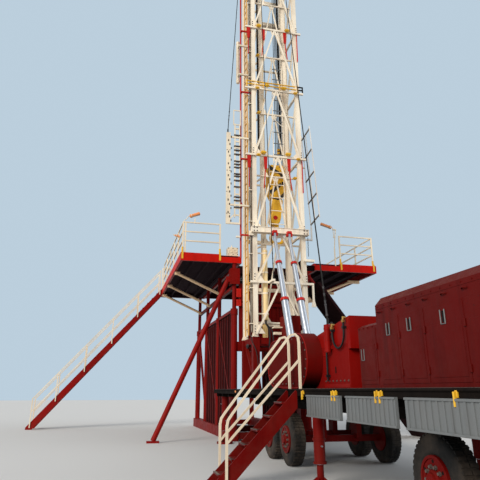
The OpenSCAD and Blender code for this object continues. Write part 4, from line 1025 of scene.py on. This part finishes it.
# Plates, gussets, bolts and pins where the mast stands on its foot.
def buildMastFoot():
    foot = {"z": 3.20, "legs": (-0.865, 0.865), "xs": (-0.075, -1.375), "half": (0.11, 0.105), "skin": 0.001,
            "thick": 0.022, "bolts": (0.09, 0.085)}
    rib = {"near": 0.078, "far": 0.14, "tall": 0.16, "half": 0.007}
    pin = {"x": -0.62, "z": 2.95, "y": 0.99}
    z, (halfX, halfY), (boltX, boltY) = foot["z"], foot["half"], foot["bolts"]
    bm, pins, heads = bmesh.new(), bmesh.new(), []
    for y in foot["legs"]:
        side = 1 if y > 0 else -1
        for x in foot["xs"]:
            addBlock(bm, (x - halfX, y - halfY, z - foot["thick"]),
                     (x + halfX, y + halfY, z - foot["skin"]), 0.003)
            heads += [((x + dx, y + dy, z - foot["skin"]), (0, 0, 1))
                      for dx in (-boltX, boltX) for dy in (-boltY, boltY)]
            addFacePlate(bm, x - rib["half"], [(y + side * rib["near"], z), (y + side * rib["far"], z),
                                               (y + side * rib["near"], z + rib["tall"])], 2 * rib["half"])
        for out, radius, sides in ((0.02, 0.075, 24), (0.045, 0.030, 6)):
            middle = side * pin["y"]
            addRod(pins, (pin["x"], middle - out, pin["z"]), (pin["x"], middle + out, pin["z"]),
                   radius, sides)
    finishPiece("mastFootPlates", bm, "cream_paint")
    finishPiece("mastFootPins", pins, "cast_steel")
    boltPiece("mastFootBolts", heads, 0.014, 0.012)


# The tan hydraulic tube clamped inside the left front leg, its end caps, brackets and two hoses.
def buildFeedTube():
    tube = {"x": -0.150, "y": -0.488, "low": 3.74, "top": 6.10, "radius": 0.080,
            "clamps": (3.95, 4.62, 5.32, 5.98), "leg": -0.792}
    x, y, r, low = tube["x"], tube["y"], tube["radius"], tube["low"]
    reach, wide = tube["top"] - low, r + 0.008
    outline = [(0, 0.0), (0, r * 0.8), (0.02, wide), (0.08, wide), (0.09, r), (reach - 0.09, r),
               (reach - 0.08, wide), (reach - 0.02, wide), (reach, r * 0.8), (reach, 0.0)]
    feed = [(x, y, low + 0.01), (x, y, low - 0.10), (-0.06, y + 0.05, 3.50), (0.05, y + 0.06, 3.25),
            (0.10, y + 0.03, 2.9), (0.10, y + 0.06, 2.4), (0.10, y + 0.06, 1.622)]
    back = [(x + 0.03, y, low + 0.01), (x + 0.04, y + 0.01, low - 0.12), (0.0, y + 0.14, 3.42),
            (0.09, y + 0.16, 3.10), (0.10, y + 0.13, 2.5), (0.10, y + 0.13, 1.622)]
    bm, clamps, hoses = bmesh.new(), bmesh.new(), bmesh.new()
    addLathe(bm, (x, y, low), (0, 0, 1), outline, 32)
    for z in tube["clamps"]:
        addRing(clamps, (x, y, z), (0, 0, 1), r + 0.010, r + 0.0005, 0.05, 28)
        addBlock(clamps, (x - 0.012, tube["leg"], z - 0.022), (x + 0.012, y - r - 0.004, z + 0.022), 0.003)
    addBlock(clamps, (x - 0.02, y - 0.05, tube["top"]), (x + 0.02, y + 0.05, tube["top"] + 0.07), 0.004)
    addPath(hoses, smoothPath(feed), 0.028, 10)
    addPath(hoses, smoothPath(back), 0.020, 10)
    finishPiece("feedTube", bm, "tubeTan", smooth=True)
    finishPiece("feedTubeClamps", clamps, "cream_paint")
    finishPiece("feedHoses", hoses, "hose_rubber", smooth=True)


# Sheave rims, their pin and a walkway grating on the crown.
def buildCrownParts():
    sheave = {"x": -0.715, "y": 0.29, "z": 19.11, "radius": 0.185, "out": 0.004, "inner": 0.02,
              "thick": 0.006, "offsets": (-0.15, -0.09, -0.03, 0.03, 0.09, 0.15)}
    x, y, z, radius = sheave["x"], sheave["y"], sheave["z"], sheave["radius"]
    rims, edges = bmesh.new(), bmesh.new()
    for dy in sheave["offsets"]:
        addRing(rims, (x, y + dy, z), (0, 1, 0), radius + sheave["out"], radius - sheave["inner"],
                sheave["thick"], 40)
    addRod(rims, (x, y - 0.20, z), (x, y + 0.20, z), 0.045, 20)
    for side in (-1, 1):
        addRod(rims, (x, y + side * 0.19, z), (x, y + side * 0.215, z), 0.075, 6)
    for y in (-0.66, -0.02):
        addBlock(edges, (-1.28, y - 0.012, 18.691), (-0.32, y + 0.012, 18.735), 0.003)
    finishPiece("sheaveRims", rims, "cast_steel", "upper_mast")
    growPiece("crownGrating", "rows", [(-0.80, -0.62, 18.706)], "zinc_steel", "upper_mast", count=15,
              step=(0, 0.040, 0), barSize=(0.96, 0.006, 0.030))
    growPiece("crownGratingBars", "rows", [(-1.20, -0.34, 18.712)], "zinc_steel", "upper_mast", count=9,
              step=(0.10, 0, 0), barSize=(0.008, 0.58, 0.014))
    finishPiece("crownEdges", edges, "cream_paint", "upper_mast")


for build in (buildMastGussets, buildUpperGussets, buildClamps, buildLineClamps, buildSafetyRail,
              buildBlockMarks, buildHook, buildHookParts, buildConduits, buildBoards, buildStayFittings,
              buildBeamParts, buildCylinders, buildCylinderParts, buildUpperRungs, buildHeavyLines,
              buildMastFoot, buildFeedTube, buildCrownParts):
    build()
print("mast pieces")


# Wheels: bulged tyres with treads, rims, hubs, nuts, and hand holes drawn as dark discs of painted shade.
def buildWheels():
    wheel = {"axles": (2.70, 4.05, 9.80, 11.15), "y": 1.15, "z": 0.55, "face": 1.30, "treadShift": 0.062,
             "nuts": 10, "nutRadius": 0.158, "holes": 6, "holeRadius": 0.218}
    half = [(0.128, 0.290), (0.146, 0.318), (0.149, 0.345), (0.143, 0.372), (0.149, 0.42), (0.149, 0.462),
            (0.142, 0.497), (0.126, 0.520), (0.110, 0.531), (0.055, 0.534)]
    wall = [(-a, r) for a, r in half] + [(a, r) for a, r in reversed(half)]
    hub = [(0, 0.128), (0.03, 0.122), (0.045, 0.095), (0.075, 0.088), (0.082, 0.070), (0.082, 0.0)]
    hole = [(0, 0.022), (0.009, 0.022), (0.009, 0.0)]
    z = wheel["z"]
    bm, rims, holes = bmesh.new(), bmesh.new(), bmesh.new()
    treads, heads = [], []
    for x in wheel["axles"]:
        for side in (-1, 1):
            y, face, out = side * wheel["y"], side * wheel["face"], (0, side, 0)
            addLathe(bm, (x, y, z), (0, 1, 0), wall, 56)
            treads += [(x, y + shift, z) for shift in (-wheel["treadShift"], wheel["treadShift"])]
            addRing(rims, (x, face + side * 0.008, z), out, 0.288, 0.250, 0.020, 48)
            addRing(rims, (x, face + side * 0.004, z), out, 0.245, 0.190, 0.010, 48)
            addLathe(rims, (x, face - side * 0.002, z), out, hub, 32)
            for t in turns(wheel["nuts"]):
                r = wheel["nutRadius"]
                heads.append(((x + r * math.cos(t), face + side * 0.006, z + r * math.sin(t)), out))
            for t in turns(wheel["holes"], 0.5):
                r = wheel["holeRadius"]
                middle = (x + r * math.cos(t), face + side * 0.002, z + r * math.sin(t))
                addLathe(holes, middle, out, hole, 14)
    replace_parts(finishPiece("tyreSet", bm, "tyre_rubber", smooth=True), "tyres")
    growPiece("tyreTreads", "rings", treads, "tyre_rubber", count=44, radius=0.538,
              blockSize=(0.046, 0.108, 0.022))
    finishPiece("wheelRims", rims, "dark_red_paint")
    finishPiece("wheelHoles", holes, "shadow")
    boltPiece("wheelNuts", heads, 0.019, 0.024)


# One side of the engine hood: doors, seams, latches with recesses of painted shade, lugs, bolts and a louvred
# panel with painted shade between the louvres.
def addHoodSide(side, panels, dark, bright, lugs, heads):
    hood = {"side": 1.40, "lift": 0.006, "low": 1.68, "rim": 0.05, "foot": 0.06, "head": 0.24,
            "doors": ((8.26, 8.80, 2.50), (8.90, 9.48, 2.60), (9.52, 10.10, 2.60), (10.14, 10.90, 2.60),
                      (10.94, 11.70, 2.60), (11.74, 12.50, 2.60), (12.54, 13.24, 2.60)),
            "latches": ((8.36, 2.125), (9.20, 2.435), (9.76, 2.44), (10.52, 2.44), (11.32, 2.44),
                        (12.12, 2.44), (12.88, 2.44)),
            "seams": ((8.86, 13.29, 2.752, 2.818), (8.24, 8.84, 1.625, 1.66), (8.86, 13.29, 1.625, 1.66))}
    louvre = {"count": 9, "low": 1.80, "step": 0.052, "x": (12.62, 13.16), "base": 0.010}
    lift, low, rim = hood["lift"], hood["low"], hood["rim"]

    def addSlab(bm, x0, x1, z0, z1, rise, base=0.0, bevel=0.0):
        addSideBlock(bm, side, (x0, hood["side"] + base, z0), (x1, hood["side"] + base + rise, z1), bevel)

    for x0, x1, top in hood["doors"]:
        addSlab(panels, x0, x1, low, top, lift, 0.0, 0.002)
        addSlab(panels, x0 + rim, x1 - rim, low + hood["foot"], top - hood["head"], 0.004, lift, 0.002)
        for z in (low + 0.10, top - 0.32):
            addSlab(lugs, x1 - 0.012, x1 + 0.022, z, z + 0.09, 0.018, 0.0, 0.003)
    for x, z in hood["latches"]:
        addSlab(dark, x - 0.022, x + 0.022, z - 0.07, z + 0.07, 0.003, lift)
        for dx in (-0.05, 0.036):
            addSlab(bright, x + dx, x + dx + 0.012, z - 0.085, z + 0.085, 0.016, lift, 0.003)
        addSlab(bright, x - 0.05, x + 0.048, z - 0.092, z - 0.081, 0.014, lift, 0.003)
    for k in range(11):
        x = 8.98 + k * 0.40
        addPath(lugs, [(x + 0.045 * math.cos(t), side * (hood["side"] + lift + 0.026 * math.sin(t)),
                        2.70 + 0.012 * math.sin(t)) for t in arc(0, math.pi, 8)], 0.009, 6)
    out, y = (0, side, 0), side * (hood["side"] + 0.002)
    heads += [((8.92 + 0.2 * k, y, 2.785), out) for k in range(22)]
    heads += [((8.26 + 0.15 * k, y, 2.525), out) for k in range(4)]
    for x0, x1, z0, z1 in hood["seams"]:
        addSlab(panels, x0, x1, z0, z1, 0.004)
    x0, x1 = louvre["x"]
    for k in range(louvre["count"]):
        z = louvre["low"] + k * louvre["step"]
        addSlab(dark, x0, x1, z, z + 0.016, 0.003, louvre["base"])
        addSlab(panels, x0, x1, z + 0.016, z + 0.034, 0.016, louvre["base"], 0.002)


# The engine hood: both sides, roof hatches with handles, the exhaust opening as a disc of painted shade, and
# the grille.
def buildHoodParts():
    roof = {"hatches": (9.9, 10.9, 11.9), "long": 0.7, "half": 1.26, "low": 2.94, "high": 2.95,
            "handles": (-0.9, 0.9), "exhaust": (9.45, 0.85)}
    grille = {"back": 13.37, "front": 13.41, "side": 1.02, "low": 1.80, "high": 2.74, "bar": 0.035,
              "post": 0.02}
    panels, dark, bright, lugs, heads = bmesh.new(), bmesh.new(), bmesh.new(), bmesh.new(), []
    for side in (-1, 1):
        addHoodSide(side, panels, dark, bright, lugs, heads)
    for x in roof["hatches"]:
        addBlock(panels, (x, -roof["half"], roof["low"]), (x + roof["long"], roof["half"], roof["high"]),
                 0.004)
        for y in roof["handles"]:
            addPath(lugs, [(x + 0.35 + 0.08 * math.cos(t), y, 2.945 + 0.06 * math.sin(t))
                           for t in arc(0, math.pi, 8)], 0.011, 8)
    addLathe(lugs, (*roof["exhaust"], 2.938), (0, 0, 1),
             [(0, 0.10), (0.02, 0.10), (0.02, 0.075), (0.045, 0.075)], 28)
    addLathe(dark, (*roof["exhaust"], 2.984), (0, 0, 1), [(0, 0.062), (0.002, 0.062), (0.002, 0.0)], 24)
    finishPiece("hoodDoors", panels, "hoodRed")
    finishPiece("hoodShadows", dark, "shadow")
    finishPiece("hoodLatches", bright, "zinc_steel")
    finishPiece("hoodLugs", lugs, "hoodRed")
    boltPiece("hoodBolts", heads, 0.010, 0.006, look="hoodRed")
    growPiece("grilleSlats", "rows", [(13.388, 0, 1.87)], "frame_paint", count=15, step=(0, 0, 0.057),
              barSize=(0.016, 1.92, 0.022))
    back, front, edge, low, high = (grille[key] for key in ("back", "front", "side", "low", "high"))
    bar, post = grille["bar"], grille["post"]
    bm = bmesh.new()
    for y0, y1, z0, z1 in ((-edge, edge, low, low + bar), (-edge, edge, high - bar, high),
                           (-edge, bar - edge, low, high), (edge - bar, edge, low, high),
                           (-post, post, low, high)):
        addBlock(bm, (back, y0, z0), (front, y1, z1), 0.004)
    finishPiece("grilleFrame", bm, "hoodRed")


# The outline of a drum guard, drawn in by the given distance from its edge.
def guardLine(inset):
    guard = {"z": 2.15, "front": (6.17, 0.515), "rear": (4.60, 0.495), "steps": 16}
    (frontX, frontR), (rearX, rearR) = guard["front"], guard["rear"]
    line = [(frontX + (frontR - inset) * math.cos(t), guard["z"] + (frontR - inset) * math.sin(t))
            for t in arc(-math.pi / 2, math.pi, guard["steps"])]
    return line + [(rearX - (rearR - inset) * math.cos(t), guard["z"] + (rearR - inset) * math.sin(t))
                   for t in arc(math.pi / 2, -math.pi, guard["steps"])]


# Rolled rims and bolts of the drum guards, and the seams, fittings and a slot of painted shade on the winch
# housing.
def buildWinchParts():
    winch = {"guardFace": 1.711, "face": 1.4005, "seam": 1.405, "slot": (1.401, 1.4065), "bolts": 1.403,
             "seams": ((6.72, 7.80, 1.64, 1.70), (6.72, 7.02, 2.20, 2.26), (7.83, 7.90, 2.28, 2.76))}
    fitting = {"y": -1.443, "wall": -1.39, "places": ((6.98, 2.60), (7.28, 2.63), (7.77, 2.70))}
    rim, brass, dark, bolts = bmesh.new(), bmesh.new(), bmesh.new(), []
    for side in (-1, 1):
        y, out = side * winch["guardFace"], (0, side, 0)
        loop = guardLine(0.006)
        addPath(rim, [(x, y, z) for x, z in loop + loop[:1]], 0.011, 8)
        bolts += [((x, y, z), out) for x, z in guardLine(0.075)[::2]]
        bolts += [((4.75 + 0.22 * k, y, z), out) for k in range(6) for z in (1.72, 2.58)]
        bolts += [((6.80 + 0.16 * k, side * winch["bolts"], 1.75), out) for k in range(7)]
        for x0, x1, z0, z1 in winch["seams"]:
            addSideBlock(rim, side, (x0, winch["face"], z0), (x1, winch["seam"], z1))
        near, far = winch["slot"]
        addSideBlock(dark, side, (7.235, near, 1.88), (7.275, far, 1.99), 0.002)
    y = fitting["y"]
    for x, z in fitting["places"]:
        addRod(brass, (x, y, z), (x, y, z + 0.045), 0.036, 6)
        addRod(brass, (x, y, z + 0.045), (x, y, z + 0.10), 0.022, 12)
        addRod(brass, (x, y, z + 0.075), (x, fitting["wall"], z + 0.075), 0.024, 12)
    for z in (2.27, 2.46, 2.66):
        addRing(rim, (7.13, -1.48, z), (0, 0, 1), 0.061, 0.053, 0.03, 24)
    finishPiece("guardRims", rim, "red_paint")
    finishPiece("hoseFittings", brass, "brass")
    finishPiece("winchSlots", dark, "shadow")
    boltPiece("winchBolts", bolts, 0.012, 0.009)


# Deck: chequered walkway, yellow brackets, cross-members, marker lamps and ribs on the panels.
def buildDeckParts():
    walks = ({"x": 6.75, "count": 7, "step": 0.955, "long": 0.94, "inner": 1.43, "outer": 1.87},
             {"x": -1.55, "count": 5, "step": 1.115, "long": 1.10, "inner": 1.0, "outer": 1.87})
    plate = {"low": 1.62, "high": 1.625}
    brackets = (6.95, 8.27, 8.38, 9.67, 9.78, 11.3, 12.9)
    panel = {"xs": (7.16, 8.76, 10.36, 11.96), "long": 1.38, "lips": (1.172, 1.492), "lip": 0.026,
             "inner": 1.9395, "outer": 1.956, "ribs": (0.057, 1.944, 1.345)}
    lamps = {-1: (1.6, 5.0, 12.2), 1: (-1.2, 1.6, 5.0, 8.6, 12.2)}
    lamp = [(0, 0.036), (0.010, 0.036), (0.014, 0.028), (0.024, 0.024), (0.028, 0.0)]
    edge = {"y": 1.905, "z": 1.60, "rear": -1.58, "front": 13.48, "radius": 0.018}
    plates, yellow, lips, marker, rail = (bmesh.new() for _ in range(5))
    for side, label in ((-1, "Left"), (1, "Right")):
        for walk in walks:
            for k in range(walk["count"]):
                x = walk["x"] + k * walk["step"]
                addSideBlock(plates, side, (x, walk["inner"], plate["low"]),
                             (x + walk["long"], walk["outer"], plate["high"]), 0.001)
        for x in brackets:
            addSideBlock(yellow, side, (x - 0.018, 1.9005, 1.525), (x + 0.018, 1.925, 1.598), 0.004)
            addSideBlock(yellow, side, (x - 0.012, 1.925, 1.44), (x + 0.012, 1.957, 1.585), 0.004)
            addRod(yellow, (x - 0.03, side * 1.935, 1.50), (x + 0.03, side * 1.935, 1.50), 0.012, 8)
        for x in panel["xs"]:
            for z in panel["lips"]:
                addSideBlock(lips, side, (x, panel["inner"], z),
                             (x + panel["long"], panel["outer"], z + panel["lip"]), 0.003)
        for x in lamps[side]:
            addLathe(marker, (x, side * 1.9, 1.56), (0, side, 0), lamp, 18)
        shift, y, z = panel["ribs"]
        growPiece("panelRibs" + label, "rows", [(x + shift, side * y, z) for x in panel["xs"]], "zinc_steel",
                  count=12, step=(0.115, 0, 0), barSize=(0.034, 0.012, 0.30))
        line = [(edge[end], side * edge["y"], edge["z"]) for end in ("rear", "front")]
        addPath(rail, line, edge["radius"], 8)
    finishPiece("deckPlates", plates, "floorPlate")
    finishPiece("deckBrackets", yellow, "yellow_paint")
    finishPiece("panelLips", lips, "zinc_steel")
    finishPiece("markerLamps", marker, "orange_paint")
    growPiece("deckBeams", "rows", [(-1.42, 0, 1.452)], "frame_paint", count=18, step=(0.87, 0, 0),
              barSize=(0.07, 3.66, 0.094))
    finishPiece("deckEdge", rail, "frame_paint")


# Foot ribs, collars, lugs and pins of the levelling jacks.
def buildJackParts():
    jack = {"xs": (-1.2, 6.8, 12.9), "y": 1.6, "collars": (0.405, 0.78, 1.36), "lugs": (0.62, 1.12)}
    rib = {"near": 0.055, "far": 0.225, "low": 0.06, "high": 0.19, "thick": 0.014}
    bm, steelParts = bmesh.new(), bmesh.new()
    for x in jack["xs"]:
        for y in (-jack["y"], jack["y"]):
            for t in turns(4, 0.5):
                c, s = math.cos(t), math.sin(t)
                near, far = ((x + out * c, y + out * s) for out in (rib["near"], rib["far"]))
                addPlate(bm, [(*near, rib["low"]), (*far, rib["low"]), (*near, rib["high"])],
                         (-rib["thick"] * s, rib["thick"] * c, 0))
            for z in jack["collars"]:
                addRing(bm, (x, y, z), (0, 0, 1), 0.118, 0.096, 0.032, 24)
            for z in jack["lugs"]:
                addBlock(bm, (x - 0.13, y - 0.022, z), (x - 0.085, y + 0.022, z + 0.11), 0.006)
            addRod(steelParts, (x - 0.16, y, 0.675), (x + 0.135, y, 0.675), 0.015, 10)
            addRod(steelParts, (x - 0.135, y + 0.03, 1.175), (x - 0.135, y - 0.12, 1.175), 0.012, 8)
            addRing(steelParts, (x, y, 0.395), (0, 0, 1), 0.075, 0.059, 0.03, 24)
    finishPiece("jackCollars", bm, "dark_red_paint")
    finishPiece("jackPins", steelParts, "polished_steel")


# A point on a circle round the rotary table.
def rotaryPoint(t, radius, middle=-4.6):
    return middle + radius * math.cos(t), radius * math.sin(t)


# Chequered plates in the fields between two lists of seams. hole is a field that stays open.
def addPlateGrid(bm, xs, ys, hole=None):
    plate = {"low": 6.300, "high": 6.305, "inset": 0.006}
    inset = plate["inset"]
    for x0, x1 in zip(xs, xs[1:]):
        for y0, y1 in zip(ys, ys[1:]):
            if (x0, x1, y0, y1) != hole:
                addBlock(bm, (x0 + inset, y0 + inset, plate["low"]),
                         (x1 - inset, y1 - inset, plate["high"]), 0.001)


# Chequered plates on the floor and both wings, and bolts round the rotary table and along the wings.
def buildFloorParts():
    bolts = {"xs": (-9.60, -8.20, -6.90, -5.60, -4.30, -3.0), "ys": (-2.92, -1.12, 2.40, 4.48), "z": 6.306}
    bm = bmesh.new()
    addPlateGrid(bm, (-9.72, -8.60, -7.48, -6.36, -5.24, -3.96, -3.50), (-0.86, -0.62, 0.62, 1.36, 2.11),
                 (-5.24, -3.96, -0.62, 0.62))
    addPlateGrid(bm, (-9.64, -8.36, -7.08, -5.80, -4.52, -3.24, -1.97), (-3.0, -2.02, -1.04))
    addPlateGrid(bm, (-9.64, -8.18, -6.72, -5.26, -3.80, -2.36), (2.30, 3.44, 4.58))
    finishPiece("floorPlates", bm, "floorPlate")
    heads = [((*rotaryPoint(t, 0.49), 6.296), (0, 0, 1)) for t in turns(16)]
    heads += [((x, y, bolts["z"]), (0, 0, 1)) for x in bolts["xs"] for y in bolts["ys"]]
    boltPiece("floorBolts", heads, 0.016, 0.010)


# Rings on top of the rotary table, and its drive holes drawn as dark discs of painted shade.
def buildRotaryParts():
    hole = {"circle": 0.345, "radius": 0.035, "low": 6.304, "high": 6.308}
    bm, dark = bmesh.new(), bmesh.new()
    addRing(bm, (-4.6, 0, 6.300), (0, 0, 1), 0.42, 0.268, 0.012, 48)
    addRing(bm, (-4.6, 0, 6.297), (0, 0, 1), 0.575, 0.545, 0.008, 56)
    for t in turns(4, 0.5):
        place = rotaryPoint(t, hole["circle"])
        addRod(dark, (*place, hole["low"]), (*place, hole["high"]), hole["radius"], 16)
    finishPiece("rotaryRings", bm, "cast_steel")
    finishPiece("rotaryHoles", dark, "shadow")


# End covers, base, top box and feet bolts of the small winch on the floor.
def buildFloorWinch():
    cover = [(0, 0.075), (0.016, 0.075), (0.020, 0.066), (0.020, 0.045), (0.010, 0.040), (0.010, 0.0)]
    bm = bmesh.new()
    for y in (-1.275, -1.10):
        addLathe(bm, (-1.962, y, 6.49), (1, 0, 0), cover, 24)
    addBlock(bm, (-1.985, -1.385, 6.302), (-1.945, -0.995, 6.335), 0.004)
    addBlock(bm, (-2.16, -1.30, 6.63), (-2.06, -1.08, 6.668), 0.012)
    addRod(bm, (-2.11, -1.21, 6.66), (-2.11, -1.21, 6.74), 0.018, 12)
    finishPiece("winchCovers", bm, "rail_paint")
    heads = [((-1.958, y, z), (1, 0, 0)) for y in (-1.36, -1.19, -1.02) for z in (6.37, 6.60)]
    boltPiece("winchFeetBolts", heads, 0.013, 0.010)


# Yellow sockets that hold the posts of the rails at the front of both wings.
def buildRailSockets():
    bm = bmesh.new()
    for x, face, ys in ((-1.86, -1.80, (-3.09, -1.71)), (-2.26, -2.20, (3.25, 4.65))):
        front = face + 0.016
        for y in ys:
            addBlock(bm, (face, y - 0.035, 6.06), (front, y + 0.035, 6.36), 0.004)
            addRing(bm, (x, y, 6.41), (0, 0, 1), 0.038, 0.0235, 0.20, 16)
            addBlock(bm, (x, y - 0.02, 6.33), (front, y + 0.02, 6.36), 0.002)
    finishPiece("railSockets", bm, "yellow_paint")


# Gussets at the feet of the columns, inside the ends of the skids, and two pads on the front column.
def buildColumnGussets():
    gusset = {"edge": 0.10, "reach": 0.16, "low": 0.35, "high": 0.62, "half": 0.006}
    columns = {-1.90: (-1,), -4.60: (-1, 1), -7.30: (-1, 1), -9.60: (1,)}
    low, high, half = gusset["low"], gusset["high"], gusset["half"]
    bm = bmesh.new()
    for z0, z1 in ((4.75, 5.06), (4.43, 4.67)):
        addBlock(bm, (-1.797, -1.10, z0), (-1.772, -0.92, z1), 0.005)
    for y in (-1.15, 1.50):
        for x, ways in columns.items():
            for away in ways:
                near, far = x + away * gusset["edge"], x + away * (gusset["edge"] + gusset["reach"])
                addPlate(bm, [(near, y - half, low), (far, y - half, low), (near, y - half, high)],
                         (0, 2 * half, 0))
    finishPiece("columnGussets", bm, "brightRed")


# One tubular floodlight: body with end caps and guard rings, lens underneath, clamp, arm and socket.
def addFloodlight(body, lens, arms, a, b, r, foot):
    cap = {"end": 0.62, "edge": 0.92, "tube": 0.86, "bevel": 0.010, "shoulder": 0.045, "step": 0.052}
    axis, reach = (b - a).normalized(), (b - a).length
    half = [(0, 0.0), (0, r * cap["end"]), (cap["bevel"], r * cap["edge"]), (cap["shoulder"], r),
            (cap["step"], r * cap["tube"])]
    addLathe(body, a, axis, half + [(reach - along, radius) for along, radius in reversed(half)], 28)
    for share in (0.25, 0.5, 0.75):
        addRing(body, a + axis * (reach * share), axis, r * 0.99, r * 0.80, 0.010, 28)
    down = axis.cross(Vector((1, 0, 0))).normalized()
    down = down if down.z < 0 else -down
    middle, along = (a + b) / 2 + down * r * 0.34, axis * (reach / 2 - 0.06)
    addRod(lens, middle - along, middle + along, r * 0.64, 20)
    outer, inner = (a, b) if abs(a.y) > abs(b.y) else (b, a)
    inward = (inner - outer).normalized()
    addRing(arms, outer + inward * 0.06, axis, r * 1.13, r * 0.99, 0.022, 28)
    bend = outer - inward * 0.07
    line = [foot, foot + Vector((0, 0, 0.06)), (foot + bend) / 2, bend, outer + inward * 0.03]
    addPath(arms, smoothPath(line, 5), 0.013, 8)
    addBlock(arms, foot - Vector((0.022, 0.022, 0.035)), foot + Vector((0.022, 0.022, 0.02)), 0.004)


def buildFloodlights():
    lights = (((-1.86, -2.86, 7.695), (-1.86, -2.49, 7.835), 0.068, (-1.86, -3.06, 7.47)),
              ((-3.0, -3.26, 7.27), (-3.0, -3.06, 7.21), 0.045, (-3.0, -3.09, 7.125)),
              ((-2.26, 2.49, 7.93), (-2.26, 2.94, 7.80), 0.068, (-2.26, 3.03, 7.42)))
    body, lens, arms = bmesh.new(), bmesh.new(), bmesh.new()
    for start, end, radius, foot in lights:
        addFloodlight(body, lens, arms, Vector(start), Vector(end), radius, Vector(foot))
    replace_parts(finishPiece("floodlights", body, "orange_paint", smooth=True), "lamps")
    finishPiece("lampLenses", lens, "lens", smooth=True)
    finishPiece("lampArms", arms, "rail_paint")


# Nosings on both stairs and pads on the foot box of the mast.
def buildSteps():
    growPiece("floorStairNosings", "rows", [(-9.315, -3.386, 6.046)], "floorPlate", count=25,
              step=(0, -0.21077, -0.242308), barSize=(0.74, 0.03, 0.012))
    growPiece("deckStairNosings", "rows", [(6.30, -2.174, 1.388)], "floorPlate", count=6,
              step=(0, -0.231429, -0.231429), barSize=(0.46, 0.04, 0.012))
    bm = bmesh.new()
    addBlock(bm, (0.40, -0.46, 3.42), (0.62, -0.18, 3.46), 0.004)
    addBlock(bm, (0.44, -0.44, 3.22), (0.58, -0.20, 3.30), 0.004)
    finishPiece("footPads", bm, "rail_paint")


for build in (buildWheels, buildHoodParts, buildWinchParts, buildDeckParts, buildJackParts, buildFloorParts,
              buildRotaryParts, buildFloorWinch, buildRailSockets, buildColumnGussets, buildFloodlights,
              buildSteps):
    build()
print("chassis and floor pieces")


# The camera at the photograph's place.
def addCamera():
    view = {"focalPx": 510, "framePx": 480, "centreY": 214, "horizonY": 390, "turnPx": 130,
            "eye": spot(16.0, -5.25, 1.6), "sensor": 36, "far": 200}
    pitch = math.atan((view["horizonY"] - view["centreY"]) / view["focalPx"])
    turn = math.atan(view["turnPx"] * math.cos(pitch) / view["focalPx"])
    ahead = Vector((-math.cos(turn) * math.cos(pitch), math.sin(turn) * math.cos(pitch), math.sin(pitch)))
    side = Vector((math.sin(turn), math.cos(turn), 0))
    turned = Matrix((side, side.cross(ahead), -ahead)).transposed().to_4x4()
    lens = bpy.data.cameras.new("photoCamera")
    lens.sensor_width = view["sensor"]
    lens.lens = view["sensor"] * view["focalPx"] / view["framePx"]
    lens.shift_y = (view["centreY"] - view["framePx"] / 2) / view["framePx"]
    lens.clip_end = view["far"]
    camera = bpy.data.objects.new("photoCamera", lens)
    camera.matrix_world = Matrix.Translation(view["eye"]) @ turned
    bpy.context.scene.collection.objects.link(camera)
    bpy.context.scene.camera = camera
    bpy.context.scene.view_settings.view_transform = "Standard"


# A plain pale floor.
def addFloor(half=80):
    material, _, shader = startMaterial("paleFloor")
    shader.inputs["Base Color"].default_value = (0.66, 0.66, 0.65, 1)
    shader.inputs["Roughness"].default_value = 0.9
    mesh = bpy.data.meshes.new("paleFloor")
    corners = [(-half, -half, 0), (half, -half, 0), (half, half, 0), (-half, half, 0)]
    mesh.from_pydata(corners, [], [(0, 1, 2, 3)])
    mesh.materials.append(material)
    floor = bpy.data.objects.new("paleFloor", mesh)
    bpy.context.scene.collection.objects.link(floor)


# Soft light from all round, and a pale blue backdrop that only the camera sees.
def addWorld():
    world = bpy.data.worlds.new("studioWorld")
    world.use_nodes = True
    tree = world.node_tree
    light = tree.nodes["Background"]
    light.inputs["Color"].default_value = (0.80, 0.85, 0.90, 1)
    light.inputs["Strength"].default_value = 0.62
    backdrop = makeNode(tree, "ShaderNodeBackground", {"Color": (0.50, 0.62, 0.72, 1)})
    path = tree.nodes.new("ShaderNodeLightPath")
    either = makeNode(tree, "ShaderNodeMixShader", {
        0: path.outputs["Is Camera Ray"], 1: light.outputs[0], 2: backdrop.outputs[0]})
    tree.links.new(either.outputs[0], tree.nodes["World Output"].inputs["Surface"])
    bpy.context.scene.world = world


def addSun(name, place, strength, spread, tint):
    light = bpy.data.lights.new(name, "SUN")
    light.energy = strength
    light.angle = spread
    light.color = tint
    lamp = bpy.data.objects.new(name, light)
    lamp.location = place
    lamp.rotation_euler = Vector(place).to_track_quat("Z", "Y").to_euler()
    bpy.context.scene.collection.objects.link(lamp)


addCamera()
addFloor()
addWorld()
addSun("keyLamp", (22, -24, 16), 2.35, 0.4, (1.0, 0.93, 0.84))
addSun("fillLamp", (10, 26, 9), 0.8, 0.8, (0.9, 0.95, 1.0))
print("camera, floor, world and lamps set")
